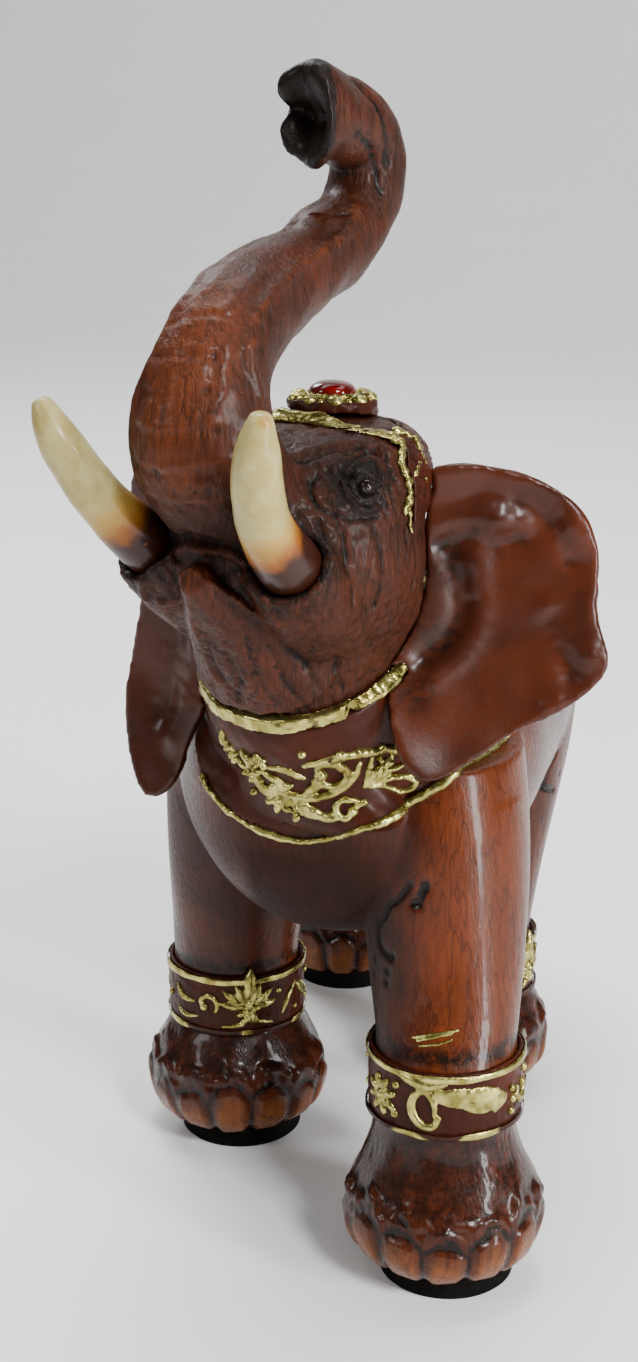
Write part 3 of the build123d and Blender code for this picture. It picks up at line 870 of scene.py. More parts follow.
@dataclass(frozen=True)
class Gilt:
    """Gold paint on carved wood, rubbed through to the brown in places."""

    name: str
    bare: float
    gold: Colour = (0.215, 0.175, 0.042)
    pale: Colour = (0.50, 0.455, 0.145)
    wood: Colour = (0.026, 0.007, 0.003)
    spots: float = 5.0
    smooth: float = 0.17
    rough: float = 0.36

    def material(self) -> bpy.types.Material:
        """Build the material."""
        wires, shader, place = start_material(self.name)
        patches = wires.noise(place, self.spots, 5.0, 0.65)
        fine = wires.noise(place, 1.3, 3.0, 0.6)
        leaf = wires.blend(wires.step(wires.noise(place, 3.4, 2.0), 0.34, 0.70), self.gold, self.pale)
        rubbed = wires.step(patches, 1.0 - self.bare - 0.03, 1.0 - self.bare + 0.03)
        hollow = wires.step(attribute(wires, "recess"), 0.25, 0.65)
        bare = wires.math("MAXIMUM", rubbed, hollow)
        metal = wires.math("SUBTRACT", 0.9, wires.math("MULTIPLY", bare, 0.9))
        relief = wires.math("ADD", wires.math("MULTIPLY", fine, 0.5), wires.math("MULTIPLY", patches, 0.5))
        wires.fill(shader, Base_Color=wires.blend(bare, leaf, self.wood), Metallic=metal,
                   Roughness=wires.spread(fine, self.smooth, self.rough), Specular_IOR_Level=0.15,
                   Normal=wires.bump(relief, 0.12, 0.8))
        return bpy.data.materials[self.name]


@dataclass(frozen=True)
class Ivory:
    """Cream tusk resin, amber and brown-red towards its root, with small specks."""

    name: str
    cream: Colour = (0.31, 0.24, 0.078)
    pale: Colour = (0.40, 0.34, 0.145)
    ochre: Colour = (0.34, 0.20, 0.040)
    amber: Colour = (0.20, 0.062, 0.007)
    root: Colour = (0.022, 0.005, 0.002)

    def material(self) -> bpy.types.Material:
        """Build the material."""
        wires, shader, place = start_material(self.name)
        depth = attribute(wires, "recess")
        cloud = wires.noise(place, 6, 4.0, 0.6)
        jitter = wires.node("ShaderNodeMath", operation="MULTIPLY_ADD", i0=cloud, i1=0.36, i2=depth)
        body = wires.blend(wires.step(cloud, 0.35, 0.65), self.cream, self.pale)
        body = wires.blend(wires.step(jitter.outputs[0], 0.35, 0.75), body, self.ochre)
        body = wires.blend(wires.step(jitter.outputs[0], 0.68, 0.98), body, self.amber)
        body = wires.blend(wires.step(jitter.outputs[0], 0.92, 1.14), body, self.root)
        specks = wires.step(wires.noise(place, 1.5, 2.0), 0.70, 0.76)
        body = wires.blend(wires.math("MULTIPLY", specks, 0.55), body, self.amber)
        wires.fill(shader, Base_Color=body, Roughness=0.34, Specular_IOR_Level=0.2, Coat_Weight=0.15,
                   Normal=wires.bump(cloud, 0.1, 0.4))
        return bpy.data.materials[self.name]


@dataclass(frozen=True)
class Glass:
    """Opaque polished glass or enamel with a clear coat, slightly clouded."""

    name: str
    tint: Colour
    shade: Colour
    roughness: float = 0.1

    def material(self) -> bpy.types.Material:
        """Build the material."""
        wires, shader, place = start_material(self.name)
        cloud = wires.step(wires.noise(place, 3.0, 3.0), 0.3, 0.7)
        wires.fill(shader, Base_Color=wires.blend(cloud, self.tint, self.shade), Roughness=self.roughness,
                   Specular_IOR_Level=0.2, Coat_Weight=0.6, Coat_Roughness=0.04)
        return bpy.data.materials[self.name]


@dataclass(frozen=True)
class Matt:
    """Dull dark rubber or raw wood with a fine grain."""

    name: str
    base: Colour
    light: Colour
    roughness: float = 0.85

    def material(self) -> bpy.types.Material:
        """Build the material."""
        wires, shader, place = start_material(self.name)
        grit = wires.noise(place, 0.9, 5.0, 0.7)
        ground = wires.blend(wires.step(grit, 0.4, 0.75), self.base, self.light)
        wires.fill(shader, Base_Color=ground, Roughness=self.roughness, Specular_IOR_Level=0.05,
                   Normal=wires.bump(grit, 0.25, 0.4))
        return bpy.data.materials[self.name]


class Finishes:
    """Every material of the figurine, made once."""

    def __init__(self) -> None:
        """Build the materials."""
        self.face = CarvedWood("face_varnish", base=(0.036, 0.0085, 0.0028), warm=(0.062, 0.0125, 0.0035),
                               orange=(0.125, 0.028, 0.006), streak=0.36, roughness=0.42, gloss=0.09,
                               coat=0.22, bump=0.4).material()
        self.body = CarvedWood("body_varnish", base=(0.042, 0.0085, 0.003), warm=(0.078, 0.014, 0.0035),
                               orange=(0.15, 0.032, 0.006), streak=0.28, roughness=0.28,
                               gloss=0.16).material()
        self.foot = CarvedWood("foot_varnish", base=(0.036, 0.0072, 0.0026), warm=(0.060, 0.012, 0.0032),
                               orange=(0.20, 0.060, 0.013), streak=0.25, roughness=0.26,
                               gloss=0.2).material()
        self.ear = SatinWood("polished_ear", base=(0.031, 0.0070, 0.0027),
                             warm=(0.066, 0.0128, 0.0036)).material()
        self.paint = SatinWood("brown_paint", base=(0.028, 0.0058, 0.0026), warm=(0.058, 0.0112, 0.0036),
                               roughness=0.38, gloss=0.06, shine=0.07).material()
        self.gilt = Gilt("gold_paint", bare=0.30).material()
        self.worn_gilt = Gilt("worn_gold_paint", bare=0.33, spots=2.6).material()
        self.ivory = Ivory("tusk_cream").material()
        self.jewel = Glass("jewel_red", (0.13, 0.003, 0.002), (0.045, 0.001, 0.001)).material()
        self.eye = Glass("eye_black", (0.02, 0.009, 0.007), (0.006, 0.004, 0.004)).material()
        self.pad = Matt("pad_rubber", (0.003, 0.0027, 0.0025), (0.009, 0.008, 0.007)).material()
        self.dowel = Matt("raw_dowel", (0.32, 0.19, 0.09), (0.45, 0.29, 0.15), 0.7).material()


finishes = Finishes()


def dress(piece: bpy.types.Object, material: bpy.types.Material, nodes: Sequence[str]) -> None:
    """Give a piece its finish and let it stand for its CAD nodes.

    Args:
        piece: the finished piece.
        material: its material.
        nodes: the CAD nodes that it replaces.
    """
    thin(piece)
    piece.data.materials.clear()
    piece.data.materials.append(material)
    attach(piece, "root")
    if nodes:
        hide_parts(*nodes)
    log.info("%s: %d faces", piece.name, len(piece.data.polygons))


# ---------------------------------------------------------------- relief work
class Relief:
    """Rounded raised work: beads, petals and strokes set on a surface and melted together."""

    def __init__(self, place: Callable[[float, float], tuple[Vector, Vector, Vector, Vector]]) -> None:
        """Take the surface.

        Args:
            place: gives the point, the direction across, the direction up and the direction out, in metres,
                at a spot (across, up) in millimetres on the surface.
        """
        self.place = place
        self.shape = bmesh.new()

    def bead(self, across: float, up: float, size: Place, turn: float = 0.0, sink: float = 0.0) -> None:
        """Set one rounded blob.

        Args:
            across: its place across the surface.
            up: its place up the surface.
            size: its half length, half width and height.
            turn: how far its length is turned from the direction across, in degrees.
            sink: how far it is pressed into the surface.
        """
        spot, side, rise, out = self.place(across, up)
        angle = math.radians(turn)
        length = side * math.cos(angle) + rise * math.sin(angle)
        width = rise * math.cos(angle) - side * math.sin(angle)
        matrix = Matrix.Identity(4)
        for column, (axis, half) in enumerate(zip((length, width, out), size)):
            for row in range(3):
                matrix[row][column] = axis[row] * half * MM
        matrix.translation = spot - out * sink * MM
        bmesh.ops.create_icosphere(self.shape, subdivisions=2, radius=1.0, matrix=matrix)

    def stroke(self, path: Sequence[tuple[float, float]], width: float, height: float,
               taper: float = 0.6) -> None:
        """Draw a rounded stroke that thins towards its ends.

        Args:
            path: spots (across, up) on the surface.
            width: half its width in the middle.
            height: its height in the middle.
            taper: how much thinner its ends are.
        """
        spots = smooth_path(np.array(path, float), 0.45 * width)
        for index, (across, up) in enumerate(spots):
            full = 1 - taper * abs(2 * index / max(len(spots) - 1, 1) - 1) ** 1.6
            self.bead(across, up, (width * full, width * full, height * full))

    def flower(self, across: float, up: float, radius: float, petals: int, height: float) -> None:
        """Set a flower of round petals about a bead.

        Args:
            across: its place across the surface.
            up: its place up the surface.
            radius: its outer radius.
            petals: how many petals it has.
            height: how high the petals stand.
        """
        for step in range(petals):
            turn = 360 * step / petals + 18
            angle = math.radians(turn)
            reach = 0.62 * radius
            wide = min(0.3, 1.5 / petals) * radius
            self.bead(across + reach * math.cos(angle), up + reach * math.sin(angle),
                      (0.38 * radius, wide, height), turn)
        self.bead(across, up, (0.26 * radius, 0.26 * radius, 1.25 * height))

    def leaf(self, across: float, up: float, length: float, width: float, turn: float, height: float) -> None:
        """Set a pointed leaf with a raised vein.

        Args:
            across: its middle across the surface.
            up: its middle up the surface.
            length: its whole length.
            width: its whole width.
            turn: its direction in degrees.
            height: how high it stands.
        """
        angle = math.radians(turn)
        count = 15
        for step in range(count):
            share = 2 * step / (count - 1) - 1
            full = max(0.18, (1 - share ** 2) ** 0.8)
            spot = (across + share * 0.5 * length * math.cos(angle),
                    up + share * 0.5 * length * math.sin(angle))
            self.bead(*spot, (0.11 * length, 0.5 * width * full, height * (0.5 + 0.5 * full)), turn)

    def scroll(self, across: float, up: float, radius: float, turn: float, sweep: float, width: float,
               height: float) -> None:
        """Set a C-scroll that ends in a bead.

        Args:
            across: its middle across the surface.
            up: its middle up the surface.
            radius: its outer radius.
            turn: where it starts, in degrees.
            sweep: how far it turns, in degrees.
            width: half the stroke's width.
            height: how high it stands.
        """
        path = []
        for step in range(9):
            share = step / 8
            angle = math.radians(turn + sweep * share)
            reach = radius * (1 - 0.55 * share)
            path.append((across + reach * math.cos(angle), up + reach * math.sin(angle)))
        self.stroke(path, width, height, 0.35)
        self.bead(*path[-1], (1.35 * width, 1.35 * width, 1.3 * height))

    def finish(self, name: str, voxel: float = 0.3, rough: float = 0.12) -> bpy.types.Object:
        """Melt the blobs into one hand-made surface.

        Args:
            name: the piece's name.
            voxel: the size of its faces.
            rough: how uneven the surface is.

        Returns:
            The piece.
        """
        piece = wrap(self.shape, name, voxel, 2, one=False)
        carving = Carving(piece)
        carving.lift += rough * wobble(carving.points, 2.2, 5)
        carving.finish(1.6)
        return piece


# ---------------------------------------------------------------- head
@dataclass
class Head:
    """Head, trunk and face in one carved skin."""

    voxel: float = 0.62
    eye: Place = (24.5, 21.3, 188.1)
    tusk_root: Place = (17.3, 36.0, 174.0)
    lids: tuple = (
        ((22.4, 22.4, 188.1), (23.6, 22.2, 189.9), (25.0, 20.9, 190.7), (26.0, 19.6, 189.6),
         (26.2, 17.7, 187.4)),
        ((22.4, 22.4, 188.1), (23.4, 22.4, 186.2), (24.8, 21.4, 185.2), (26.0, 19.4, 185.6),
         (26.2, 17.7, 187.4)),
        ((20.6, 21.4, 189.6), (21.0, 17.8, 191.4), (21.7, 15.2, 192.2), (23.0, 13.9, 191.8),
         (25.1, 15.7, 188.7), (26.4, 17.4, 185.2)),
        ((18.4, 22.1, 190.2), (19.4, 17.2, 192.6), (20.1, 13.9, 193.6), (21.2, 10.7, 193.9),
         (24.1, 13.1, 190.8), (26.4, 15.6, 187.2), (27.5, 16.4, 183.4)),
        ((20.6, 22.6, 187.8), (22.2, 23.4, 185.4), (24.6, 22.6, 183.6), (26.3, 19.9, 183.4)),
    )
    mouth: tuple = ((0, 30, 175), (13, 10.5, 10))
    wrinkles: tuple = (
        ((21.6, 10.4, 194.1), (27.2, 14.2, 189.5), (28.7, 16, 184)),
        ((19, 14.5, 194.6), (25.2, 13, 191.6), (28.4, 12.5, 186)),
        ((16.5, 24.5, 192), (17.5, 29, 188.4), (20.5, 30.2, 185)),
        ((21, 29, 184.3), (25.5, 25.5, 182.4), (28.6, 20, 182)),
        ((22.4, 27.7, 183), (26, 27.8, 174.5), (23.3, 25.4, 161.6)),
        ((20.8, 31.3, 182.4), (24.2, 30.4, 174.8), (22.7, 29.8, 166.5)),
        ((27.5, 21, 180), (29.4, 19.5, 172), (27.2, 19.5, 163)),
        ((15.5, 30.5, 162.5), (18.5, 30, 158.5), (17.4, 28.5, 155)),
    )
    brows: tuple = (
        ((10.4, 24, 193.2), (14, 19, 195.4), (18.5, 13, 195.2), (23.4, 9.6, 193)),
        ((11, 29.5, 189.4), (15.4, 25.5, 192.2), (18.4, 20.5, 194)),
    )
    throat: tuple = (
        ((-1.4, 32, 156.9), (-1.8, 28.2, 150), (0.7, 26.5, 143.2)),
        ((4.5, 33.2, 158.9), (4.9, 28.1, 150.6), (7.3, 25.2, 141.8)),
        ((7.6, 30.7, 156.3), (9.2, 26, 148.1), (12.2, 23.2, 142.6)),
        ((12.7, 29.2, 156.7), (13.6, 24.2, 149.4), (15.6, 21, 143.7)),
        ((19.4, 24.9, 156.8), (18.9, 21, 150), (18.6, 18.1, 144.5)),
    )
    ridges: tuple = (
        ((12, 43, 188), (12.6, 43, 198), (12.2, 38.5, 206), (10.6, 39, 213.5), (8.6, 35, 220), (8.2, 26, 226),
         (7, 14, 230), (6.6, 3, 233), (5.8, -6, 239)),
        ((-9.5, 48, 188), (-9.6, 49, 197), (-8.4, 48, 206), (-6, 46.5, 213), (-5, 38, 222), (-5, 27, 228),
         (-5, 15, 232), (-4.5, 2, 236), (-3, -5, 241)),
    )
    rings: tuple = (
        ((-4.0, 42, 220), (1, 42, 221.5), (6, 39, 221)),
        ((-5.2, 46.8, 213.4), (1, 47.6, 214.4), (7, 45, 214.4)),
        ((-6.0, 49, 207), (1, 51, 207.4), (8.4, 47.4, 208.4)),
        ((-7.0, 50.5, 200), (1, 52.5, 199.8), (9.4, 48.4, 201.4)),
        ((-7.6, 50.5, 193), (1, 53, 192.4), (10.2, 47.6, 194)),
        ((-8, 49, 186), (1, 52, 185), (10.6, 45, 187)),
    )
    arch: tuple = ((-1.7, 40.4, 175.9), (1.7, 40.4, 175.9), (6.2, 39.2, 175.0), (9.7, 39.1, 172.0),
                   (12.7, 40.6, 169.6), (15.6, 40.5, 167.2), (16.4, 38.4, 163.2))
    lip: tuple = ((0.4, 43, 171.6), (3.5, 43.2, 170.0), (5.7, 39.7, 166.8), (8.0, 36.2, 163.7),
                  (14.0, 37.2, 162.6))
    keel: tuple = ((0, 44.5, 171), (-2, 41, 164), (-4, 36, 156), (-4, 31, 147))
    lip_point: Place = (0, 43, 171.2)
    lip_corner: Place = (4.5, 39.5, 171)
    middle_line: tuple = ((5.8, 42, 219), (7, 45.8, 212.6), (7.4, 48.6, 206), (7, 49.8, 199),
                          (6.4, 49.5, 192))
    tip: Place = (0.0, 4.0, 257.4)
    tip_foot: float = 243.0
    nostrils: tuple = ((-2.6, 4.5, 255.4), (3.2, 4.5, 256.4))
    tip_lips: tuple = ((-6.0, 3.2, 264.0), (-6.4, 3.6, 250.8), (1.0, 3.6, 249.0), (2.8, 4.4, 264.8))
    tip_notch: tuple = ((-3, 4, 257.8), (-6, 3.6, 258.2), (-8.4, 1.5, 258.6))
    tip_cracks: tuple = (((4, -4, 262.5), (6, -10, 257), (6, -15, 248)),
                         ((7, -2, 254), (8, -8, 250), (7.6, -12, 242)))

    def build(self) -> None:
        """Wrap, carve and dress the head."""
        shapes = [merged_copy(node) for node in ("head", "trunk", "trunk_dowel", "eye_left", "eye_right")]
        piece = wrap(join([*shapes, lump(*self.mouth)]), "head_and_trunk", self.voxel, 4)
        carving = Carving(piece)
        spot = to_head(carving.points)
        self.carve_face(carving)
        self.carve_trunk(carving, spot)
        self.carve_tip(carving, spot)
        self.grain(carving, spot)
        carving.finish(1.15)
        dress(piece, finishes.face, ("head", "trunk"))

    def carve_face(self, carving: Carving) -> None:
        """Cut the lids, the wrinkles, the sockets, the mouth and the throat.

        Args:
            carving: the head's skin.
        """
        for side in (1, -1):
            eye = from_head(mirrored([self.eye], side))
            carving.stain_and_shade(1.1 * carving.blob(eye, 7.0))
            for lid in self.lids:
                carving.ridge(from_head(mirrored(lid, side)), 0.55, 0.9, 0.1)
            for line in self.wrinkles:
                carving.groove(from_head(mirrored(line, side)), 0.6, 0.5, 0.45)
            for line in self.brows:
                carving.ridge(from_head(mirrored(line, side)), 1.7, 1.1, 0.2)
            for line in self.throat:
                carving.groove(from_head(mirrored(line, side)), 0.8, 0.5, 0.3)
            root = from_head(mirrored([self.tusk_root], side))
            carving.stain_and_shade(1.1 * carving.blob(root, 9.5))
            carving.ridge(from_head(mirrored(self.arch, side)), 1.0, 0.9, 0.5)
            carving.ridge(from_head(mirrored(self.lip, side)), 0.7, 0.7, 0.9)
            carving.stain_and_shade(0.5 * carving.blob(from_head(mirrored([self.lip_corner], side)), 4.0))
        carving.ridge(from_head(self.keel), 1.6, 0.7, 0.2)
        carving.lift += 1.2 * carving.blob(from_head([self.lip_point]), 2.6)

    def carve_trunk(self, carving: Carving, spot: np.ndarray) -> None:
        """Raise the two long ridges of the trunk's front and cut its rings.

        Args:
            carving: the head's skin.
            spot: its points in the head's frame.
        """
        for ridge in self.ridges:
            carving.ridge(from_head(ridge), 1.4, 0.9, 0.45)
        for ring in self.rings:
            carving.groove(from_head(ring), 1.3, 0.42, 0.0)
            upper = [(left, forward + 0.4, height + 1.5) for left, forward, height in ring]
            carving.ridge(from_head(upper), 0.9, 0.25, 0.5)
        carving.groove(from_head(self.middle_line), 1.1, 0.35, 0.1)
        left, forward, height = spot.T
        front = bell(left, 0.5, 9) * ramp(forward, 30, 10)
        carving.warm = np.maximum(carving.warm, front * ramp(height, 180, 12))
        carving.stain_and_shade(0.28 * ramp(left, 7, 4) * ramp(height, 190, 6))
        # painted shade under the trunk's root between the tusks and under the brows
        root = fall(height, 190, 9) * ramp(height, 172, 4) * ramp(forward, 26, 8)
        brow = bell(height, 190, 9) * ramp(np.abs(left), 10, 4) * ramp(forward, 4, 6)
        carving.shade = np.maximum(0.6 * root, 0.5 * brow)
        carving.stain_and_shade(0.30 * ramp(height, 232, 14))
        cheek = ramp(left, 8, 10) * fall(height, 181, 10) * ramp(height, 142, 10)
        carving.warm = np.maximum(carving.warm, 0.3 * cheek)
        # painted shade on the jaw
        jaw = ramp(left, 6, 6) * fall(height, 190, 8)
        carving.shade = np.maximum(carving.shade, 0.34 * jaw)

    def carve_tip(self, carving: Carving, spot: np.ndarray) -> None:
        """Hollow the trunk's end, with its nostrils, its lips and its notch.

        Args:
            carving: the head's skin.
            spot: its points in the head's frame.
        """
        left, forward, height = spot.T
        end = ramp(forward, 0.5, 2) * (height > self.tip_foot)
        ahead = np.array(from_head([(0, 1, 0)])[0] - from_head([(0, 0, 0)])[0])
        lean = 0.42 * np.clip(left + 1.5, 0, 10) * ramp(forward, -9, 11) * (height > self.tip_foot - 5)
        carving.points += lean[:, None] * ahead
        carving.lift -= 2.6 * carving.blob(from_head([self.tip]), 4.6) * end
        for place in self.nostrils:
            carving.lift -= 3.4 * carving.blob(from_head([place]), 2.0) * end
        for place in self.tip_lips:
            carving.lift += 1.3 * carving.blob(from_head([place]), 3.2)
        carving.groove(from_head(self.tip_notch), 1.9, 2.4, 1.0)
        carving.stain_and_shade(0.95 * end)
        for line in self.tip_cracks:
            carving.groove(from_head(line), 0.9, 0.5, 0.6)

    def grain(self, carving: Carving, spot: np.ndarray) -> None:
        """Cut the fine gouge lines and the uneven surface.

        Args:
            carving: the head's skin.
            spot: its points in the head's frame.
        """
        _, forward, height = spot.T
        trunk = np.maximum(ramp(height, 192, 8) * ramp(forward, 24, 8), ramp(height, 200, 6))
        face = 1 - trunk
        rough = (0.04 + 0.10 * face) * wobble(carving.points, 3, 22)
        carving.lift += 0.24 * wobble(carving.points, 9, 21) + rough
        carving.strokes(2.0, 0.26, 23, (1, 1, 0.09), face)
        carving.strokes(1.2, 0.16, 27, (1, 1, 0.1), face)
        carving.strokes(1.7, 0.10, 25, (1, 1, 0.3), 0.5 * trunk)


@dataclass
class Eyes:
    """Two dark glass beads with a domed pupil."""

    radius: float = 1.7
    out: float = 0.7
    drop: float = 1.1

    def build(self) -> None:
        """Make both eyes."""
        for side in ("left", "right"):
            node = "eye_" + side
            low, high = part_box(node)
            out = Vector(from_head([(1 if side == "left" else -1, 0.75, 0)])[0] - from_head([(0, 0, 0)])[0])
            out.normalize()
            middle = (low + high) / 2 + out * ((high.z - low.z) / 2 - (self.radius - self.out) * MM)
            middle.z -= self.drop * MM
            shape = bmesh.new()
            bmesh.ops.create_uvsphere(shape, u_segments=40, v_segments=24, radius=self.radius * MM)
            for vert in shape.verts:
                facing = max(0.0, vert.co.normalized().dot(out))
                vert.co *= 0.97 + 0.09 * facing ** 12 - 0.05 * math.exp(-((facing - 0.82) / 0.05) ** 2)
            bmesh.ops.translate(shape, verts=shape.verts, vec=middle)
            round_off(shape)
            piece = show_shape(shape, "eyeball_" + side)
            dress(piece, finishes.eye, (node,))


@dataclass
class Tusks:
    """Two cream tusks, brown towards their roots."""

    voxel: float = 0.5
    socket: float = 8.6
    fade: float = 14.0
    pull: float = 2.4
    fatter_tip: float = 0.8
    slimmer_waist: float = 0.5
    scuff: Place = (26.3, 56.8, 205.0)

    def build(self) -> None:
        """Wrap and colour both tusks."""
        for side, sign in (("left", 1), ("right", -1)):
            node = "tusk_" + side
            piece = wrap(merged_copy(node), "ivory_" + side, self.voxel, 4)
            carving = Carving(piece)
            root = from_head(mirrored([Head.tusk_root], sign))
            reach = np.linalg.norm(carving.points - root, axis=1)
            carving.lift += 0.12 * wobble(carving.points, 7, 31) + self.fatter_tip * ramp(reach, 22, 10)
            carving.lift -= self.slimmer_waist * bell(reach, 13, 6)
            ahead = to_head(carving.points)[:, 1] > Head.tusk_root[1] - 3
            carving.recess = np.where(ahead, np.clip(1.0 - (reach - self.socket) / self.fade, 0, 1), 1.0)
            if side == "left":
                carving.stain_and_shade(0.62 * carving.blob(from_head([self.scuff]), 1.3))
            else:
                along = (carving.points - root) / reach[:, None]
                carving.points -= self.pull * ramp(reach, 12, 30)[:, None] * along
            carving.finish(0.0)
            dress(piece, finishes.ivory, (node,))


@dataclass
class Ears:
    """Two smooth ears with a rolled rim and a hollow beside the head, darkened there with painted shade."""

    voxel: float = 0.7
    roots: dict = field(default_factory=lambda: {
        "left": (1, (26, 0, 165), 30, 10), "right": (-1, (24, 7, 150), -2, 0)})
    rims: dict = field(default_factory=lambda: {
        "left": ((0, 22.2), (10, 22.4), (17, 21.2), (24, 17.8), (30, 12), (34, 4), (34.6, -6), (36.6, -15),
                 (35, -21), (24, -28.6), (11, -37), (2, -40)),
        "right": ((0, 35), (8.4, 35.8), (15.4, 29.6), (17.2, 16), (18.2, 0), (22.6, -14), (23.6, -28),
                  (21.4, -38), (16.4, -41), (12, -39))})
    folds: dict = field(default_factory=lambda: {
        "left": (((0, 21.8), (10, 21.4), (17, 20.4), (24, 16.6), (29.6, 10)),
                 ((12.0, 14.6), (13.8, 13.8)),
                 ((2.5, 10.4), (7.9, 12.6), (11.9, 11.4), (18.8, 13)),
                 ((10.5, 6), (12, -1), (12.4, -8), (9.5, -15), (4, -20)),
                 ((26, -6), (33, -14), (37, -17))),
        "right": (((2, 16), (3.4, -2), (5.4, -18), (9.4, -30)),)})
    creases: dict = field(default_factory=lambda: {
        "left": (((1.8, 18.2), (11.5, 18.0), (19.4, 16.0), (26.3, 11.2), (30, 5)),
                 ((2.3, 8.0), (7.9, 9.4), (11.9, 7.6), (18.8, 9.4)),
                 ((4.2, 7.0), (7.4, -0.1), (8.4, -6.7), (6.4, -12.6), (2.0, -16.4)),
                 ((28, -8), (33, -19))),
        "right": (((9, 10), (11, -8), (14, -24)),)})
    painted_shade_hollows: dict = field(default_factory=lambda: {
        "left": ((4.5, 3), (3.5, -12), (1, -24)), "right": ((3, 8), (6, -24))})

    def spread(self, side: str, spots: Sequence[tuple[float, float]]) -> np.ndarray:
        """Give places on an ear in the carver's frame.

        Args:
            side: left or right.
            spots: places (out, up) on the ear's flat plane from its root.

        Returns:
            Rows of places.
        """
        sign, root, flare, lean = self.roots[side]
        flare, lean = math.radians(flare), math.radians(lean)
        back = math.sin(flare)
        rows = []
        for out, up in spots:
            rows.append((sign * (root[0] + math.cos(flare) * out),
                         root[1] - back * out - math.tan(lean) * up / math.hypot(1, math.tan(lean)),
                         root[2] + up / math.hypot(1, math.tan(lean))))
        return from_head(rows)

    def facing(self, side: str, root: np.ndarray) -> np.ndarray:
        """Give the direction that an ear's hollow side faces.

        Args:
            side: left or right.
            root: the ear's root.

        Returns:
            A unit direction with its first part towards the front.
        """
        out = self.spread(side, [(10, 0)])[0] - root
        up = self.spread(side, [(0, 10)])[0] - root
        facing = np.cross(out, up)
        facing /= np.linalg.norm(facing)
        return facing if facing[1] < 0 else -facing

    def build(self) -> None:
        """Wrap, fold and dress both ears."""
        for side in ("left", "right"):
            node = "ear_" + side
            piece = wrap(merged_copy(node), "ear_flap_" + side, self.voxel, 7)
            carving = Carving(piece)
            root = from_head(mirrored([self.roots[side][1]], self.roots[side][0]))[0]
            front = np.clip(carving.normals @ self.facing(side, root) * 2.5, 0, 1)
            base = carving.lift.copy()
            carving.ridge(self.spread(side, self.rims[side]), 1.8, 0.6, 0.3)
            for fold in self.folds[side]:
                carving.ridge(self.spread(side, fold), 3.0, 1.2, 0.15)
            for crease in self.creases[side]:
                carving.groove(self.spread(side, crease), 2.8, 1.1, 0.22)
            carving.lift = base + front * (carving.lift - base)
            # painted shade in the ear's hollow beside the head
            for spot in self.painted_shade_hollows[side]:
                carving.stain_and_shade(0.45 * carving.blob(self.spread(side, [spot]), 7))
            carving.warm = front * np.clip(0.5 + 0.8 * wobble(carving.points, 30, 43), 0, 1)
            carving.lift += 0.3 * wobble(carving.points, 16, 41)
            carving.finish(0.8)
            dress(piece, finishes.ear, (node,))


# ---------------------------------------------------------------- body and legs
@dataclass
class Leg:
    """Where one leg stands and how high its anklet sits."""

    name: str
    x: float
    y: float
    lift: float


ANKLET_HEIGHT = 16.0
ANKLE_RADIUS = 16.2
BAND_RADIUS = 17.4


def find_legs() -> list[Leg]:
    """Read the four legs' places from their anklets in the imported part."""
    legs = []
    for name in ("front_left", "front_right", "rear_left", "rear_right"):
        low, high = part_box("anklet_" + name)
        middle = bench.millimetres(np.array((low + high) / 2))
        legs.append(Leg(name, middle[0], middle[1], bench.millimetres(np.array(low))[2]))
    return legs


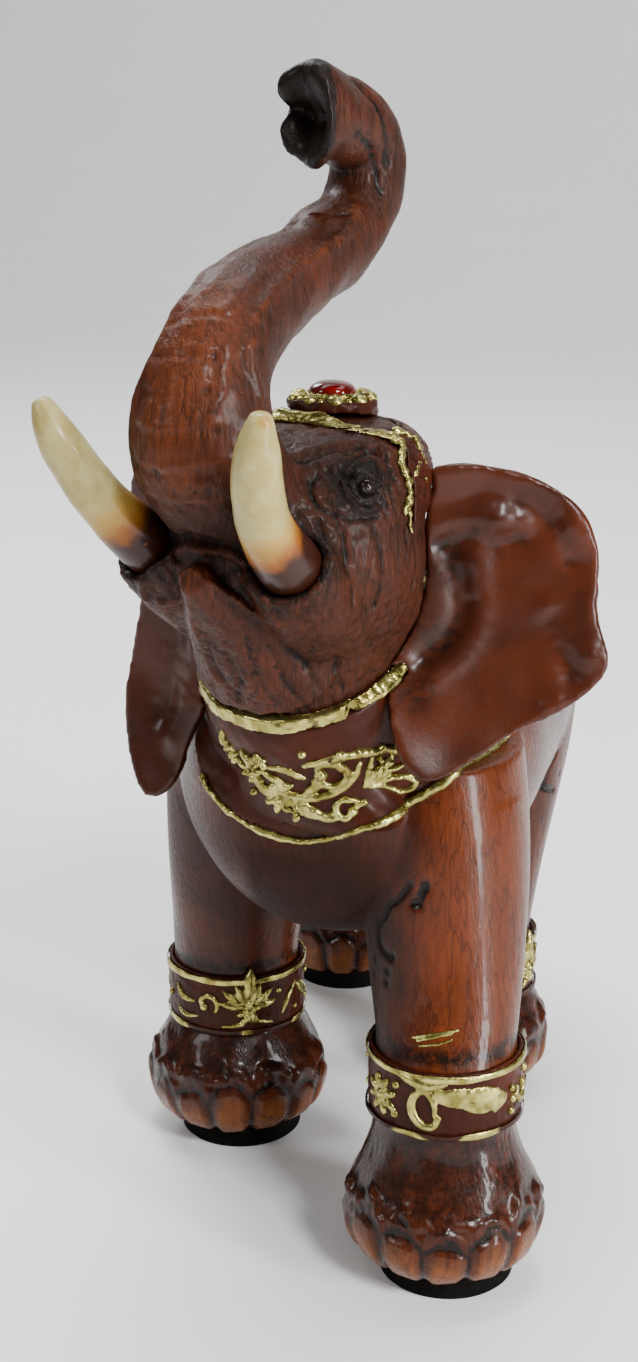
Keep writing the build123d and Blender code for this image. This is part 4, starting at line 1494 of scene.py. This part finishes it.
@dataclass
class Body:
    """Barrel, chest, haunches and the legs down to the anklets, in one carved skin."""

    legs: list[Leg]
    voxel: float = 0.8
    leg_reach: float = ANKLE_RADIUS + 6.0
    chest_back: float = -40.0
    chest_foot: float = 112.0
    swirls: tuple = (
        ((22.3, -67.0, 96.2), (19.3, -66.4, 92.5), (16.4, -65.2, 88.5), (14.6, -63.9, 83.4),
         (15.9, -65.4, 79.9), (18.2, -67.5, 79.0)),
        ((25.6, -67.5, 97.2), (24.9, -67.7, 94.9), (24.2, -67.7, 92.4)),
        ((43, 20, 104), (41.5, 17, 99), (41, 19, 93), (41, 25, 88), (41, 33, 85)),
        ((41, 33, 96), (40, 29, 92), (40, 27, 88)),
    )
    dots: tuple = ((14.0, -63.7, 76.2), (17.5, -67.3, 75.5), (13.5, -63.3, 73.0), (17.3, -67.5, 72.9),
                   (18.4, -67.6, 79.2), (23.2, -67.8, 92.2), (42, 28, 101), (41, 36, 89))

    def build(self) -> None:
        """Wrap, carve and dress the body."""
        shapes = [merged_copy(node) for node in ("torso", "leg_dowels", "neck_dowels")]
        for leg in self.legs:
            shape = merged_copy("leg_" + leg.name)
            cut_level(shape, leg.lift + ANKLET_HEIGHT / 2, True)
            shapes.append(shape)
        piece = wrap(join(shapes), "body_and_legs", self.voxel, 5)
        carving = Carving(piece)
        points = carving.points
        x, y, z = points.T
        low = fall(z, 88, 20)
        calm = self.calm(points)
        carving.lift += calm * 0.18 * wobble(points * (1, 1, 0.3), 18, 51)
        carving.strokes(2.6, 0.16, 53, (1, 1, 0.05), 0.7 * calm * (0.3 + 0.7 * low))
        carving.strokes(1.9, 0.10, 57, (1, 1, 0.04), 0.6 * calm * (0.4 + 0.6 * low))
        for line in self.swirls:
            carving.groove(np.array(line, float), 0.75, 0.6, 2.2)
        for dot in self.dots:
            carving.lift -= 0.6 * carving.blob(np.array(dot), 0.9)
            carving.stain_and_shade(2.0 * carving.blob(np.array(dot), 0.95))
        # painted light: the front left leg's outer side and the shoulder above it are warmed to orange where
        # the light falls on them
        carving.warm = ramp(x, 22, 10) * fall(y, -30, 10) * 0.55
        # painted shade under the chest, between the front legs and over the right front leg
        under = fall(y, -20, 10) * fall(z, self.chest_foot, 12)
        inner = fall(x, 24, 10) * ramp(x, -24, 10)
        carving.shade = under * np.maximum(0.95 * inner, 0.6 * (x < 0))
        for leg in self.legs:
            ring = bell(z - leg.lift - ANKLET_HEIGHT, 2.5, 2.6)
            carving.stain_and_shade(0.55 * ring * self.on_leg(points, leg))
        carving.finish(1.0)
        dress(piece, finishes.body, ("torso",))

    def calm(self, points: np.ndarray) -> np.ndarray:
        """Weigh the skin down to 0 where the anklets and the collar lie on it.

        Args:
            points: the skin's points.

        Returns:
            A weight from 0 to 1 for each point.
        """
        weight = np.ones(len(points))
        for leg in self.legs:
            off = points[:, 2] - leg.lift - ANKLET_HEIGHT
            calmed = np.minimum(weight, ramp(off, 0.5, 3))
            weight = np.where(self.on_leg(points, leg), calmed, weight)
        chest = (points[:, 1] < self.chest_back) & (points[:, 2] > self.chest_foot)
        return np.where(chest, 0.0, weight)

    def on_leg(self, points: np.ndarray, leg: Leg) -> np.ndarray:
        """Tell which points are near a leg's upright axis."""
        return np.hypot(points[:, 0] - leg.x, points[:, 1] - leg.y) < self.leg_reach


@dataclass
class Foot:
    """One carved foot with its toenails, up into the anklet."""

    leg: Leg
    voxel: float = 0.55
    nails: tuple[float, ...] = (-69, -42, -15, 12, 39, 66, 93)
    nail_half_width: float = 12.4
    nail_top: float = 19.6
    nail_height: float = 0.9
    knuckle_height: float = 1.2
    wall_radius: float = 14.0

    def build(self) -> None:
        """Wrap, carve and dress the foot."""
        shape = merged_copy("leg_" + self.leg.name)
        cut_level(shape, self.leg.lift + ANKLET_HEIGHT / 2, False)
        piece = wrap(shape, "foot_" + self.leg.name, self.voxel, 3)
        carving = Carving(piece)
        points = carving.points
        x, y, z = points[:, 0] - self.leg.x, points[:, 1] - self.leg.y, points[:, 2]
        turn = np.degrees(np.arctan2(x, -y))
        wall = ramp(np.hypot(x, y), self.wall_radius, 2)
        below = fall(z, self.leg.lift - 0.5, 3)
        carving.lift += below * 0.3 * wobble(points, 12, 61)
        carving.strokes(2.2, 0.2, 63 + len(self.leg.name), (1, 1, 0.1), below * ramp(z, 26, 5))
        ragged = wobble(points, 5, 64)
        for angle in self.nails:
            off = (turn - angle + 180) % 360 - 180
            top = self.nail_top + 1.4 * math.sin(math.radians(3.7 * angle + 20 * self.leg.x))
            arch = top - 3.2 * (off / self.nail_half_width) ** 2 + 0.8 * ragged
            inside = ramp(arch - z, 0, 2.4) * ramp(1 - np.abs(off) / self.nail_half_width, 0, 0.4)
            carving.lift += self.nail_height * inside * wall
            low = ramp(arch - 1.5 - z, 0, 5)
            carving.warm = np.maximum(carving.warm, inside * low * wall)
            edge = bell(np.abs(off), self.nail_half_width + 1.0, 1.1) * (z < arch + 3.5)
            carving.stain_and_shade(0.62 * edge * wall)
            brink = bell(z - arch, 0.2, 1.3) * (np.abs(off) < self.nail_half_width)
            carving.stain_and_shade(0.62 * brink * wall)
            knuckle = bell(z - arch, 3.0, 2.2) * bell(off, 0, 0.9 * self.nail_half_width)
            carving.lift += self.knuckle_height * knuckle * wall * (0.7 + 0.5 * ragged)
            carving.stain_and_shade(0.5 * knuckle * wall)
        drip = bell(z, self.nail_top + 2, 2.5) * (0.5 + 0.5 * wobble(points, 3.2, 65))
        carving.lift += 0.55 * drip * wall
        carving.stain_and_shade(0.42 * ramp(z, 21, 3) * wall)
        carving.finish(1.4)
        dress(piece, finishes.foot, ("leg_" + self.leg.name,))


@dataclass
class Tail:
    """The hanging tail with its tuft."""

    voxel: float = 0.5

    def build(self) -> None:
        """Wrap, carve and dress the tail."""
        piece = wrap(merged_copy("tail"), "tail_and_tuft", self.voxel, 3)
        carving = Carving(piece)
        carving.lift += 0.15 * wobble(carving.points, 4, 71)
        carving.strokes(1.4, 0.4, 73, (1, 1, 0.15), np.maximum(fall(carving.points[:, 2], 80, 6), 0.3))
        carving.finish(1.2)
        dress(piece, finishes.body, ("tail",))


# ---------------------------------------------------------------- anklets
class Pattern(Enum):
    """The motif at the front of an anklet."""

    DAISY = "daisy"
    SPRIG = "sprig"


@dataclass
class Anklet:
    """A painted band with gold rims, flowers, scrolls, leaves and beads."""

    leg: Leg
    turn: float
    pattern: Pattern
    smears: tuple = (
        ((24.6, -72.9, 63.0), (27.4, -73.4, 64.0), (29.8, -73.4, 64.7), (34.2, -72.0, 65.3)),
        ((25.6, -73.2, 62.4), (29.8, -73.5, 63.9), (33.0, -72.6, 64.7)),
        ((26.2, -73.8, 61.5), (30.6, -73.7, 62.5), (33.0, -72.9, 63.4)),
    )
    smear_radius: float = 0.38

    def spot(self, across: float, up: float) -> tuple[Vector, Vector, Vector, Vector]:
        """Give a spot on the band.

        Args:
            across: the way round the band in millimetres, counted from its front towards +X.
            up: the height above the band's middle.

        Returns:
            The point and the directions across, up and out, in metres.
        """
        angle = across / BAND_RADIUS + math.radians(self.turn)
        out = Vector((math.sin(angle), -math.cos(angle), 0))
        side = Vector((math.cos(angle), math.sin(angle), 0))
        middle = np.array([self.leg.x, self.leg.y, self.leg.lift + ANKLET_HEIGHT / 2 + up])
        point = Vector(bench.metres(middle)) + out * BAND_RADIUS * MM
        return point, side, Vector((0, 0, 1)), out

    def build(self) -> None:
        """Make the band, the rims and the raised work."""
        name = "anklet_" + self.leg.name
        band = wrap(merged_copy(name), "band_" + self.leg.name, 0.5, 1)
        carving = Carving(band)
        carving.lift += 0.12 * wobble(carving.points, 3, 81)
        carving.finish(1.0)
        dress(band, finishes.paint, (name,))
        rims = wrap(merged_copy(name + "_rims"), "rims_" + self.leg.name, 0.38, 3, one=False)
        carving = Carving(rims)
        low = carving.points[:, 2] < self.leg.lift + ANKLET_HEIGHT / 2
        carving.lift += 0.22 * wobble(carving.points, 9, 82) - 0.25
        gap = np.clip(0.5 + 1.6 * wobble(carving.points, 22, 83), 0, 1) * low
        carving.lift -= 0.4 * gap
        carving.stain_and_shade(gap)
        carving.finish(0.6)
        dress(rims, finishes.gilt, (name + "_rims",))
        relief = Relief(self.spot)
        half_way = math.pi * BAND_RADIUS
        self.draw_daisy(relief, 0.0 if self.pattern is Pattern.DAISY else half_way)
        self.draw_sprig(relief, half_way if self.pattern is Pattern.DAISY else 0.0)
        if self.leg.name == "front_left":
            self.smear(relief)
        piece = relief.finish("relief_" + self.leg.name, 0.27, 0.06)
        dress(piece, finishes.worn_gilt, (name + "_ornament",))

    def smear(self, relief: Relief) -> None:
        """Dab thin gold strokes on the leg above the band.

        Args:
            relief: the relief that takes them.
        """
        skin = faces_of("body_and_legs")
        for stroke in self.smears:
            for place in smooth_path(np.array(stroke), 0.3):
                dab(relief.shape, skin.find_nearest(Vector(bench.metres(place)))[0], self.smear_radius)

    def draw_daisy(self, relief: Relief, start: float) -> None:
        """Draw the half of the band with a daisy, a C-scroll, a broad rubbed leaf and beads.

        Args:
            relief: the relief on the band.
            start: where the middle of this half lies across the band.
        """
        relief.flower(start - 16.4, -0.4, 5.2, 8, 0.95)
        relief.stroke([(start - 4.4, 4.4), (start - 7.0, 2.0), (start - 7.4, -1.6), (start - 5.2, -4.4),
                       (start - 2.6, -4.6), (start - 1.4, -2.4)], 1.2, 0.9, 0.3)
        relief.stroke([(start - 4.0, 3.6), (start - 2.4, 1.0), (start - 2.2, -2.0)], 0.8, 0.8, 0.2)
        relief.leaf(start + 4.0, 2.4, 15.0, 5.6, -4, 0.6)
        relief.leaf(start + 8.4, 1.4, 12.0, 7.4, -6, 0.6)
        relief.leaf(start + 12.0, 0.6, 5.4, 7.4, 88, 0.7)
        relief.stroke([(start - 11.6, 7.0), (start - 8.6, 6.2), (start - 4, 5.2), (start, 6.0)],
                      1.5, 1.1, 0.5)
        for across, up in ((17.4, 1.6), (17.8, -1.2), (17.2, -3.9), (-11.6, 3.6), (-11.8, -3.6), (24.6, 3.4)):
            relief.bead(start + across, up, (1.0, 1.1, 1.0))
        relief.scroll(start + 22.6, -0.6, 3.2, 150, 290, 0.85, 0.95)

    def draw_sprig(self, relief: Relief, start: float) -> None:
        """Draw the half of the band with a leafy sprig that climbs over the upper rim.

        Args:
            relief: the relief on the band.
            start: where the middle of this half lies across the band.
        """
        for step in range(7):
            turn = 12 + 26 * step
            angle = math.radians(turn)
            reach = 4.4 + 0.8 * (step % 2)
            across, up = start + 3 + reach * math.cos(angle), reach * math.sin(angle) - 0.6
            relief.leaf(across, up, 5.4, 2.4, turn, 1.1)
        relief.flower(start + 3.0, -1.2, 3.2, 6, 1.3)
        relief.leaf(start + 3.4, 6.6, 6.6, 3.6, 85, 1.4)
        relief.stroke([(start - 3.6, -5.6), (start + 1, -4.8), (start + 3, -3.6), (start + 9.6, -5.2)],
                      0.9, 0.9)
        relief.scroll(start - 7.6, 0.4, 3.0, -40, 270, 0.9, 0.95)
        relief.stroke([(start - 18, 3.2), (start - 15.4, 0.6), (start - 11.4, 0.2)], 0.9, 0.9)
        relief.stroke([(start - 17.6, -3.4), (start - 14, -4.2), (start - 10.6, -3.6)], 0.8, 0.85)
        relief.stroke([(start + 12.6, -3.8), (start + 14.6, 0.2), (start + 17.8, 3.6)], 0.8, 0.85)
        relief.leaf(start + 21.6, 0.2, 8.2, 3.4, -35, 0.95)
        for across, up in ((11.4, 3.0), (17.4, -3.4), (-21.6, -0.6), (25.8, 3.2), (25.6, -3.6)):
            relief.bead(start + across, up, (0.95, 0.95, 0.9))


# ---------------------------------------------------------------- collar
@dataclass
class Collar:
    """The chest collar: painted ground, two gold bands, flowers, scrolls and leaves."""

    edge_start: float = 2.0
    edge_step: float = 7.0
    worn_at: float = 5.0
    sunk_from: float = 11.5
    side_back: float = -45.0
    clear: float = 6.0
    reach: float = 20.0
    raised: float = 0.25
    origin: Place = (-4.0, -100.0, 120.0)
    line: tuple = ((-26.1, -61.3, 115.4), (-21.8, -65.1, 111.4), (-15.8, -68.3, 107.9), (-9.5, -70.6, 106.0),
                   (-3.9, -70.6, 105.2), (1.3, -70.6, 105.6), (6.5, -72.0, 107.6), (12.3, -75.3, 111.1),
                   (16.9, -74.2, 112.7), (20.4, -70.3, 114.1), (24.1, -67.3, 116.1), (28.2, -66.1, 118.6),
                   (32.1, -63.3, 121.5), (34.6, -55.0, 122.0), (37.2, -46.0, 122.0), (38.6, -38.0, 123.0))

    def build(self) -> None:
        """Make the ground, the bands and the raised work."""
        panel = wrap(merged_copy("chest_panel"), "collar_ground", 0.6, 1)
        carving = Carving(panel)
        line = smooth_path(np.array(self.line), 0.5)
        x, y, z = carving.points.T
        edge = np.interp(x, line[:, 0], line[:, 2])
        below = ramp(edge - 0.2 - z, 0, 0.6) * (x > self.edge_start)
        carving.lift += 0.12 * wobble(carving.points, 5, 91) * (1 - below)
        carving.points[:, 1] += self.edge_step * below
        carving.finish(1.0)
        dress(panel, finishes.paint, ("chest_panel",))
        band = wrap(merged_copy("collar_upper_band"), "gold_upper_band", 0.42, 3)
        carving = Carving(band)
        carving.lift += 0.3 * wobble(carving.points, 8, 95) + 0.12 * wobble(carving.points, 2.6, 96) - 0.2
        x, y, z = carving.points.T
        ahead = fall(y, self.side_back, 4)
        worn = bell(x, self.worn_at, 3.0)
        carving.lift -= ahead * (0.45 * worn + 3.0 * ramp(x, self.sunk_from, 1.5))
        carving.stain_and_shade(0.5 * ahead * worn * (wobble(carving.points, 2.2, 97) > 0))
        carving.finish(0.8)
        dress(band, finishes.gilt, ("collar_upper_band",))
        tree = faces_of("collar_ground")
        self.lower_band(tree)
        relief = Relief(self.drop_on(tree))
        self.draw(relief)
        piece = relief.finish("collar_relief", 0.32)
        dress(piece, finishes.worn_gilt, ("chest_flowers", "chest_scrolls"))

    def lower_band(self, panel: BVHTree) -> None:
        """Lay the thin gold strand along the collar's lower edge.

        Args:
            panel: the collar ground's faces.
        """
        body = faces_of("body_and_legs")
        shape = bmesh.new()
        path = smooth_path(np.array(self.line), 0.4)
        size = 0.88 + 0.15 * wobble(path, 9, 92) + 0.35 * ramp(path[:, 0], 8, 14)
        for place, radius in zip(path, size):
            spot = Vector(bench.metres(place))
            out = Vector((0.35 * (place[0] - 4), -14, 3)).normalized()
            start = spot + out * self.clear * MM
            hits = [tree.ray_cast(start, -out, self.reach * MM)[0] for tree in (panel, body)]
            hits = [hit for hit in hits if hit is not None]
            nearest = min(hits, key=lambda hit: (hit - start).length, default=spot)
            dab(shape, nearest + out * self.raised * MM, radius)
        band = wrap(shape, "gold_lower_band", 0.34, 2, one=False)
        carving = Carving(band)
        carving.lift += 0.14 * wobble(carving.points, 2.4, 93)
        carving.finish(0.8)
        dress(band, finishes.gilt, ("collar_lower_band",))

    def drop_on(self, tree: BVHTree) -> Callable[[float, float], tuple[Vector, Vector, Vector, Vector]]:
        """Make the rule that drops a flat spot on the chest.

        Args:
            tree: the collar ground's faces.

        Returns:
            A rule from (across, up) to a spot on the ground.
        """
        half = HEAD_TURN / 2
        across_way = Vector((math.cos(half), -math.sin(half), 0))
        inward = Vector((math.sin(half), math.cos(half), 0))
        start = Vector(bench.metres(np.array(self.origin)))

        def place(across: float, up: float) -> tuple[Vector, Vector, Vector, Vector]:
            """Drop one spot on the chest."""
            spot = start + across_way * across * MM + Vector((0, 0, up * MM))
            hit, normal, _, _ = tree.ray_cast(spot, inward)
            if hit is None:
                hit, normal, _, _ = tree.find_nearest(spot + inward * 25 * MM)
            if normal.dot(inward) > 0:
                normal = -normal
            side = (across_way - normal * across_way.dot(normal)).normalized()
            return hit, side, normal.cross(side), normal

        return place

    def draw(self, relief: Relief) -> None:
        """Draw the flowers, scrolls, leaves and beads.

        Args:
            relief: the relief on the collar's ground.
        """
        leaves = ((-17.0, 9.4, 4.8, 2.2, 80), (-11.0, 6.4, 4.4, 2.6, 112), (-5.6, 2.2, 5.2, 2.4, 150),
                  (-9.6, -1.6, 4.6, 2.4, 125), (1.8, -5.6, 7.0, 3.6, -14), (5.9, -6.4, 4.8, 2.6, 5),
                  (3.2, 0.8, 5.4, 2.6, 35), (-3.4, 0.2, 4.6, 2.2, 200), (29.8, 6.2, 5.2, 2.4, 10))
        for across, up, length, width, turn in leaves:
            relief.leaf(across, up, length, width, turn, 1.35)
        for across, up, radius, petals in ((-11.6, 2.2, 3.7, 6), (-6.1, -4.0, 3.9, 6), (-15.8, 6.2, 2.6, 5),
                                           (-1.2, -4.6, 2.8, 5), (-7.8, 6.4, 2.4, 5), (15.6, 5.4, 2.6, 5)):
            relief.flower(across, up, radius, petals, 1.35)
        relief.stroke([(-5.2, 4.8), (-2.0, 5.0), (1.6, 3.2)], 1.2, 0.8, 0.3)
        relief.scroll(9.3, -4.6, 2.9, 20, 330, 0.95, 1.2)
        relief.scroll(7.0, 5.0, 4.1, 215, 350, 1.15, 1.2)
        relief.stroke([(-12.4, 0.6), (-9.7, -1.3), (-3.9, -1.7), (1.6, -2.1), (7, -0.5), (10.9, 2.9),
                       (12.8, 6.8)], 1.05, 1.15, 0.3)
        relief.stroke([(2.8, 6.9), (9.3, 8.9), (14.8, 9.4), (19.4, 7.9), (22.1, 4.5)], 1.15, 1.2, 0.4)
        for end in ((14.8, 7.8), (17.5, 7.0), (19.6, 4.9), (20.4, 1.8), (17.2, -1.6)):
            half = (0.5 * (12.4 + end[0]), 0.5 * (0.6 + end[1]) + 0.6)
            relief.stroke([(12.4, 0.4), half, end], 0.85, 1.1, 0.35)
        relief.stroke([(17.9, 2.2), (20.8, -0.1), (18.2, -2.2), (15.9, -0.6)], 0.8, 1.0, 0.3)
        for across, up in ((-6.4, -0.2), (-4.6, 0.9), (-2.8, 0.2), (-10.6, 6.8), (10.1, 9.9), (13.2, 10.0),
                           (16.3, 9.8), (-16.6, 3.4), (-12.8, -3.8), (-2.2, -7.8), (12.6, -3.0), (3.0, 10.0)):
            relief.bead(across, up, (1.05, 1.05, 1.3))


# ---------------------------------------------------------------- head-dress
@dataclass
class HeadDress:
    """The cloth over the crown, its gold edge, and the boss with its jewel."""

    strands: tuple = (
        ((20.6, 4.4, 195.4), (23.7, 5.0, 194.0), (25.6, 7.2, 192.7), (26.8, 9.3, 191.3), (28.4, 9.8, 189.3),
         (29.6, 10.2, 186.9), (30.3, 10.9, 184.2), (30.6, 11.0, 181.0), (30.4, 10.6, 177.6)),
        ((30.3, 10.9, 184.2), (29.5, 12.2, 182.8), (28.6, 12.6, 181.2)),
        ((19.5, 1.5, 195.4), (22.4, -1.0, 193.6), (24.9, 0.3, 191.6), (26.9, 2.8, 190.3), (27.8, 5.7, 189.0),
         (29.3, 9.4, 187.0)),
        ((25.4, 1.0, 191.4), (27.6, 1.6, 188.4), (28.8, 3.0, 185.6)),
    )
    side_top: float = 194.0
    raised: float = 0.5
    strand_radius: float = 0.95

    def build(self) -> None:
        """Make the cloth, the edge and the crown."""
        cloth = wrap(merged_copy("head_cloth"), "crown_cloth", 0.42, 2)
        carving = Carving(cloth)
        carving.lift += 0.22 * wobble(carving.points, 5, 101)
        carving.strokes(2.4, 0.35, 102, (1, 0.3, 1))
        carving.finish(1.2)
        dress(cloth, finishes.paint, ("head_cloth",))
        self.edge()
        self.crown()

    def edge(self) -> None:
        """Make the gold edge and the leafy strands that hang from it."""
        front = merged_copy("head_cloth_trim")
        cut_level(front, self.side_top, True)
        skin = faces_of("head_and_trunk")
        beads = bmesh.new()
        for side in (1, -1):
            for strand in self.strands:
                path = smooth_path(from_head(mirrored(strand, side)), 0.6)
                for index, place in enumerate(path):
                    full = (1 - 0.55 * index / len(path)) * (1 + 0.25 * math.sin(1.9 * index))
                    spot, normal, _, _ = skin.find_nearest(Vector(bench.metres(place)))
                    dab(beads, spot + normal * self.raised * MM, self.strand_radius * full)
        trim = wrap(join([front, beads]), "crown_edge", 0.36, 2, one=False)
        carving = Carving(trim)
        carving.lift += 0.2 * wobble(carving.points, 4, 103) + 0.12 * wobble(carving.points, 1.8, 104)
        carving.finish(1.0)
        dress(trim, finishes.gilt, ("head_cloth_trim",))

    def crown(self) -> None:
        """Make the boss, its petals, the bezel and the jewel."""
        boss = wrap(merged_copy("crown_boss"), "boss", 0.4, 2)
        carving = Carving(boss)
        carving.lift += 0.22 * wobble(carving.points, 3, 105)
        carving.finish(1.5)
        dress(boss, finishes.paint, ("crown_boss",))
        low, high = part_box("crown_jewel")
        middle = Vector(((low.x + high.x) / 2, (low.y + high.y) / 2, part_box("crown_bezel")[0].z))

        def place(across: float, up: float) -> tuple[Vector, Vector, Vector, Vector]:
            """Give a spot on the boss's flat top."""
            return (middle + Vector((across * MM, up * MM, 0)), Vector((1, 0, 0)), Vector((0, 1, 0)),
                    Vector((0, 0, 1)))

        petals = Relief(place)
        for step in range(9):
            turn = 40 * step + 8
            angle = math.radians(turn)
            petals.bead(7.7 * math.cos(angle), 7.7 * math.sin(angle), (2.0, 1.75, 1.35), turn)
            angle += math.radians(20)
            petals.bead(8.6 * math.cos(angle), 8.6 * math.sin(angle), (0.7, 0.7, 0.8), turn)
        dress(petals.finish("boss_petals", 0.3), finishes.worn_gilt, ("crown_petals",))
        bezel = Relief(place)
        for step in range(36):
            angle = math.radians(10 * step)
            full = 1 + 0.18 * (step % 2)
            bezel.bead(5.5 * math.cos(angle), 5.5 * math.sin(angle), (0.62, 0.75, 1.25 * full), 10 * step)
        dress(bezel.finish("jewel_setting", 0.26, 0.08), finishes.gilt, ("crown_bezel",))
        self.jewel(low, high)

    def jewel(self, low: Vector, high: Vector) -> None:
        """Turn the domed jewel.

        Args:
            low: the CAD jewel's lowest corner.
            high: its highest corner.
        """
        radius = (high.x - low.x) / 2
        height = high.z - low.z
        middle = Vector(((low.x + high.x) / 2, (low.y + high.y) / 2, low.z))
        shape = bmesh.new()
        steps = 14
        rim = [shape.verts.new((0, 0, 0)), shape.verts.new((radius * 0.98, 0, 0))]
        for step in range(steps + 1):
            angle = math.pi / 2 * step / steps
            rim.append(shape.verts.new((radius * math.cos(angle) ** 0.9 if step < steps else 0.0, 0,
                                        height * (0.35 + 0.65 * math.sin(angle)))))
        edges = [shape.edges.new(pair) for pair in zip(rim[:-1], rim[1:])]
        bmesh.ops.spin(shape, geom=[*rim, *edges], cent=(0, 0, 0), axis=(0, 0, 1), angle=2 * math.pi,
                       steps=48, use_merge=True, use_duplicate=False)
        bmesh.ops.remove_doubles(shape, verts=shape.verts, dist=1e-6)
        bmesh.ops.recalc_face_normals(shape, faces=shape.faces)
        bmesh.ops.translate(shape, verts=shape.verts, vec=middle)
        round_off(shape)
        dress(show_shape(shape, "jewel"), finishes.jewel, ("crown_jewel",))


# ---------------------------------------------------------------- plain CAD pieces and the studio
def dress_plain_nodes() -> None:
    """Give the pads and the hidden dowels and pegs their finish."""
    for name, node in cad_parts.items():
        if name.startswith("foot_pad"):
            material, slot = finishes.pad, "black_pad"
        elif "dowel" in name or "pegs" in name:
            material, slot = finishes.dowel, "dowel_wood"
        elif node.hide_render:
            continue
        else:
            material, slot = finishes.body, "carved_wood"
        node.data.materials.clear()
        node.data.materials.append(material)


@dataclass
class Studio:
    """Floor, soft lights and camera."""

    camera_step: Place = (70.3, -403.9, 262.0)
    azimuth: float = 14.0
    pitch: float = 16.45
    lens: float = 52.86
    half_width: float = 5.0
    front: float = -3.0
    back: float = 1.6
    sweep: float = 1.2
    wall: float = 3.0

    def build(self) -> None:
        """Set up the studio."""
        self.backdrop()
        self.light("key", (0.75, -0.85, 1.0), 0.26, 17.0)
        self.light("strip", (0.86, -0.42, 0.26), 0.15, 12.0, (0.03, -0.06, 0.08), 3.6)
        self.light("fill", (-1.0, -1.0, 0.9), 0.45, 7.0)
        self.light("top", (-0.1, 0.15, 1.5), 0.5, 11.0)
        self.light("rim", (-0.7, 0.7, 0.9), 0.4, 6.0)
        self.light("wall_wash", (0.0, 0.9, 2.6), 2.4, 50.0, (0, 2.2, 0.3))
        world = bpy.data.worlds.new("studio")
        world.use_nodes = True
        world.node_tree.nodes["Background"].inputs["Color"].default_value = (1, 1, 1, 1)
        world.node_tree.nodes["Background"].inputs["Strength"].default_value = 0.15
        bpy.context.scene.world = world
        self.camera()

    def backdrop(self) -> None:
        """Lay the pale floor that sweeps up into a wall behind the figurine."""
        shape = bmesh.new()
        ends = [shape.verts.new((side * self.half_width, self.front, 0)) for side in (-1, 1)]
        edge = shape.edges.new(ends)
        edge = self.extend(shape, edge, Vector((0, self.back - self.front, 0)))
        turned = bmesh.ops.spin(shape, geom=[*edge.verts, edge], cent=(0, self.back, self.sweep),
                                axis=(1, 0, 0), angle=math.pi / 2, steps=24, use_merge=False,
                                use_duplicate=False)
        edge = next(item for item in turned["geom_last"] if isinstance(item, bmesh.types.BMEdge))
        self.extend(shape, edge, Vector((0, 0, self.wall)))
        bmesh.ops.remove_doubles(shape, verts=shape.verts, dist=1e-6)
        bmesh.ops.recalc_face_normals(shape, faces=shape.faces)
        round_off(shape)
        piece = show_shape(shape, "backdrop")
        wires, shader, place = start_material("backdrop_paper")
        cloud = wires.noise(place, 90, 2.0)
        paper = wires.blend(cloud, (0.90, 0.90, 0.90), (0.93, 0.93, 0.93))
        wires.fill(shader, Base_Color=paper, Roughness=0.95, Specular_IOR_Level=0.1)
        piece.data.materials.append(bpy.data.materials["backdrop_paper"])

    def extend(self, shape: bmesh.types.BMesh, edge: bmesh.types.BMEdge, step: Vector) -> bmesh.types.BMEdge:
        """Pull an edge into a flat face.

        Args:
            shape: the shape.
            edge: the edge to pull.
            step: how far it is pulled.

        Returns:
            The new edge.
        """
        made = bmesh.ops.extrude_edge_only(shape, edges=[edge])["geom"]
        verts = [item for item in made if isinstance(item, bmesh.types.BMVert)]
        bmesh.ops.translate(shape, verts=verts, vec=step)
        edges = [item for item in made if isinstance(item, bmesh.types.BMEdge)]
        return next(item for item in edges if set(item.verts) == set(verts))

    def light(self, name: str, place: Place, size: float, power: float, aim: Place = (0, 0, 0.13),
              tall: float = 1.0) -> None:
        """Hang one soft light.

        Args:
            name: the light's name.
            place: where it hangs, in metres.
            size: its side in metres.
            power: its power in watts.
            aim: what it looks at, in metres.
            tall: how many times taller than wide it is.
        """
        lamp = bpy.data.lights.new(name, "AREA")
        lamp.shape = "RECTANGLE"
        lamp.size = size
        lamp.size_y = size * tall
        lamp.energy = power
        holder = bpy.data.objects.new(name, lamp)
        bpy.context.scene.collection.objects.link(holder)
        holder.location = place
        holder.rotation_euler = (Vector(aim) - Vector(place)).to_track_quat("-Z", "Y").to_euler()

    def camera(self) -> None:
        """Place the camera."""
        data = bpy.data.cameras.new("camera")
        data.lens = self.lens
        data.sensor_width = 36.0
        data.clip_start = 0.01
        camera = bpy.data.objects.new("camera", data)
        bpy.context.scene.collection.objects.link(camera)
        low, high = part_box("foot_pad_front_left")
        pad = Vector(((low.x + high.x) / 2, (low.y + high.y) / 2, low.z))
        camera.location = pad + Vector(self.camera_step) * MM
        camera.rotation_euler = (math.radians(90 - self.pitch), 0, math.radians(self.azimuth))
        bpy.context.scene.camera = camera


def main() -> None:
    """Build the whole figurine and its studio."""
    logging.basicConfig(level=logging.INFO, format="%(name)s %(message)s")
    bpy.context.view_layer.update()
    legs = find_legs()
    Head().build()
    Eyes().build()
    Tusks().build()
    Ears().build()
    Body(legs).build()
    for leg in legs:
        Foot(leg).build()
    Tail().build()
    fronts = {"front_left": (10.0, Pattern.DAISY), "front_right": (16.0, Pattern.SPRIG),
              "rear_left": (60.0, Pattern.SPRIG), "rear_right": (-20.0, Pattern.DAISY)}
    for leg in legs:
        Anklet(leg, *fronts[leg.name]).build()
    Collar().build()
    HeadDress().build()
    dress_plain_nodes()
    Studio().build()


if __name__ == "__main__":
    main()
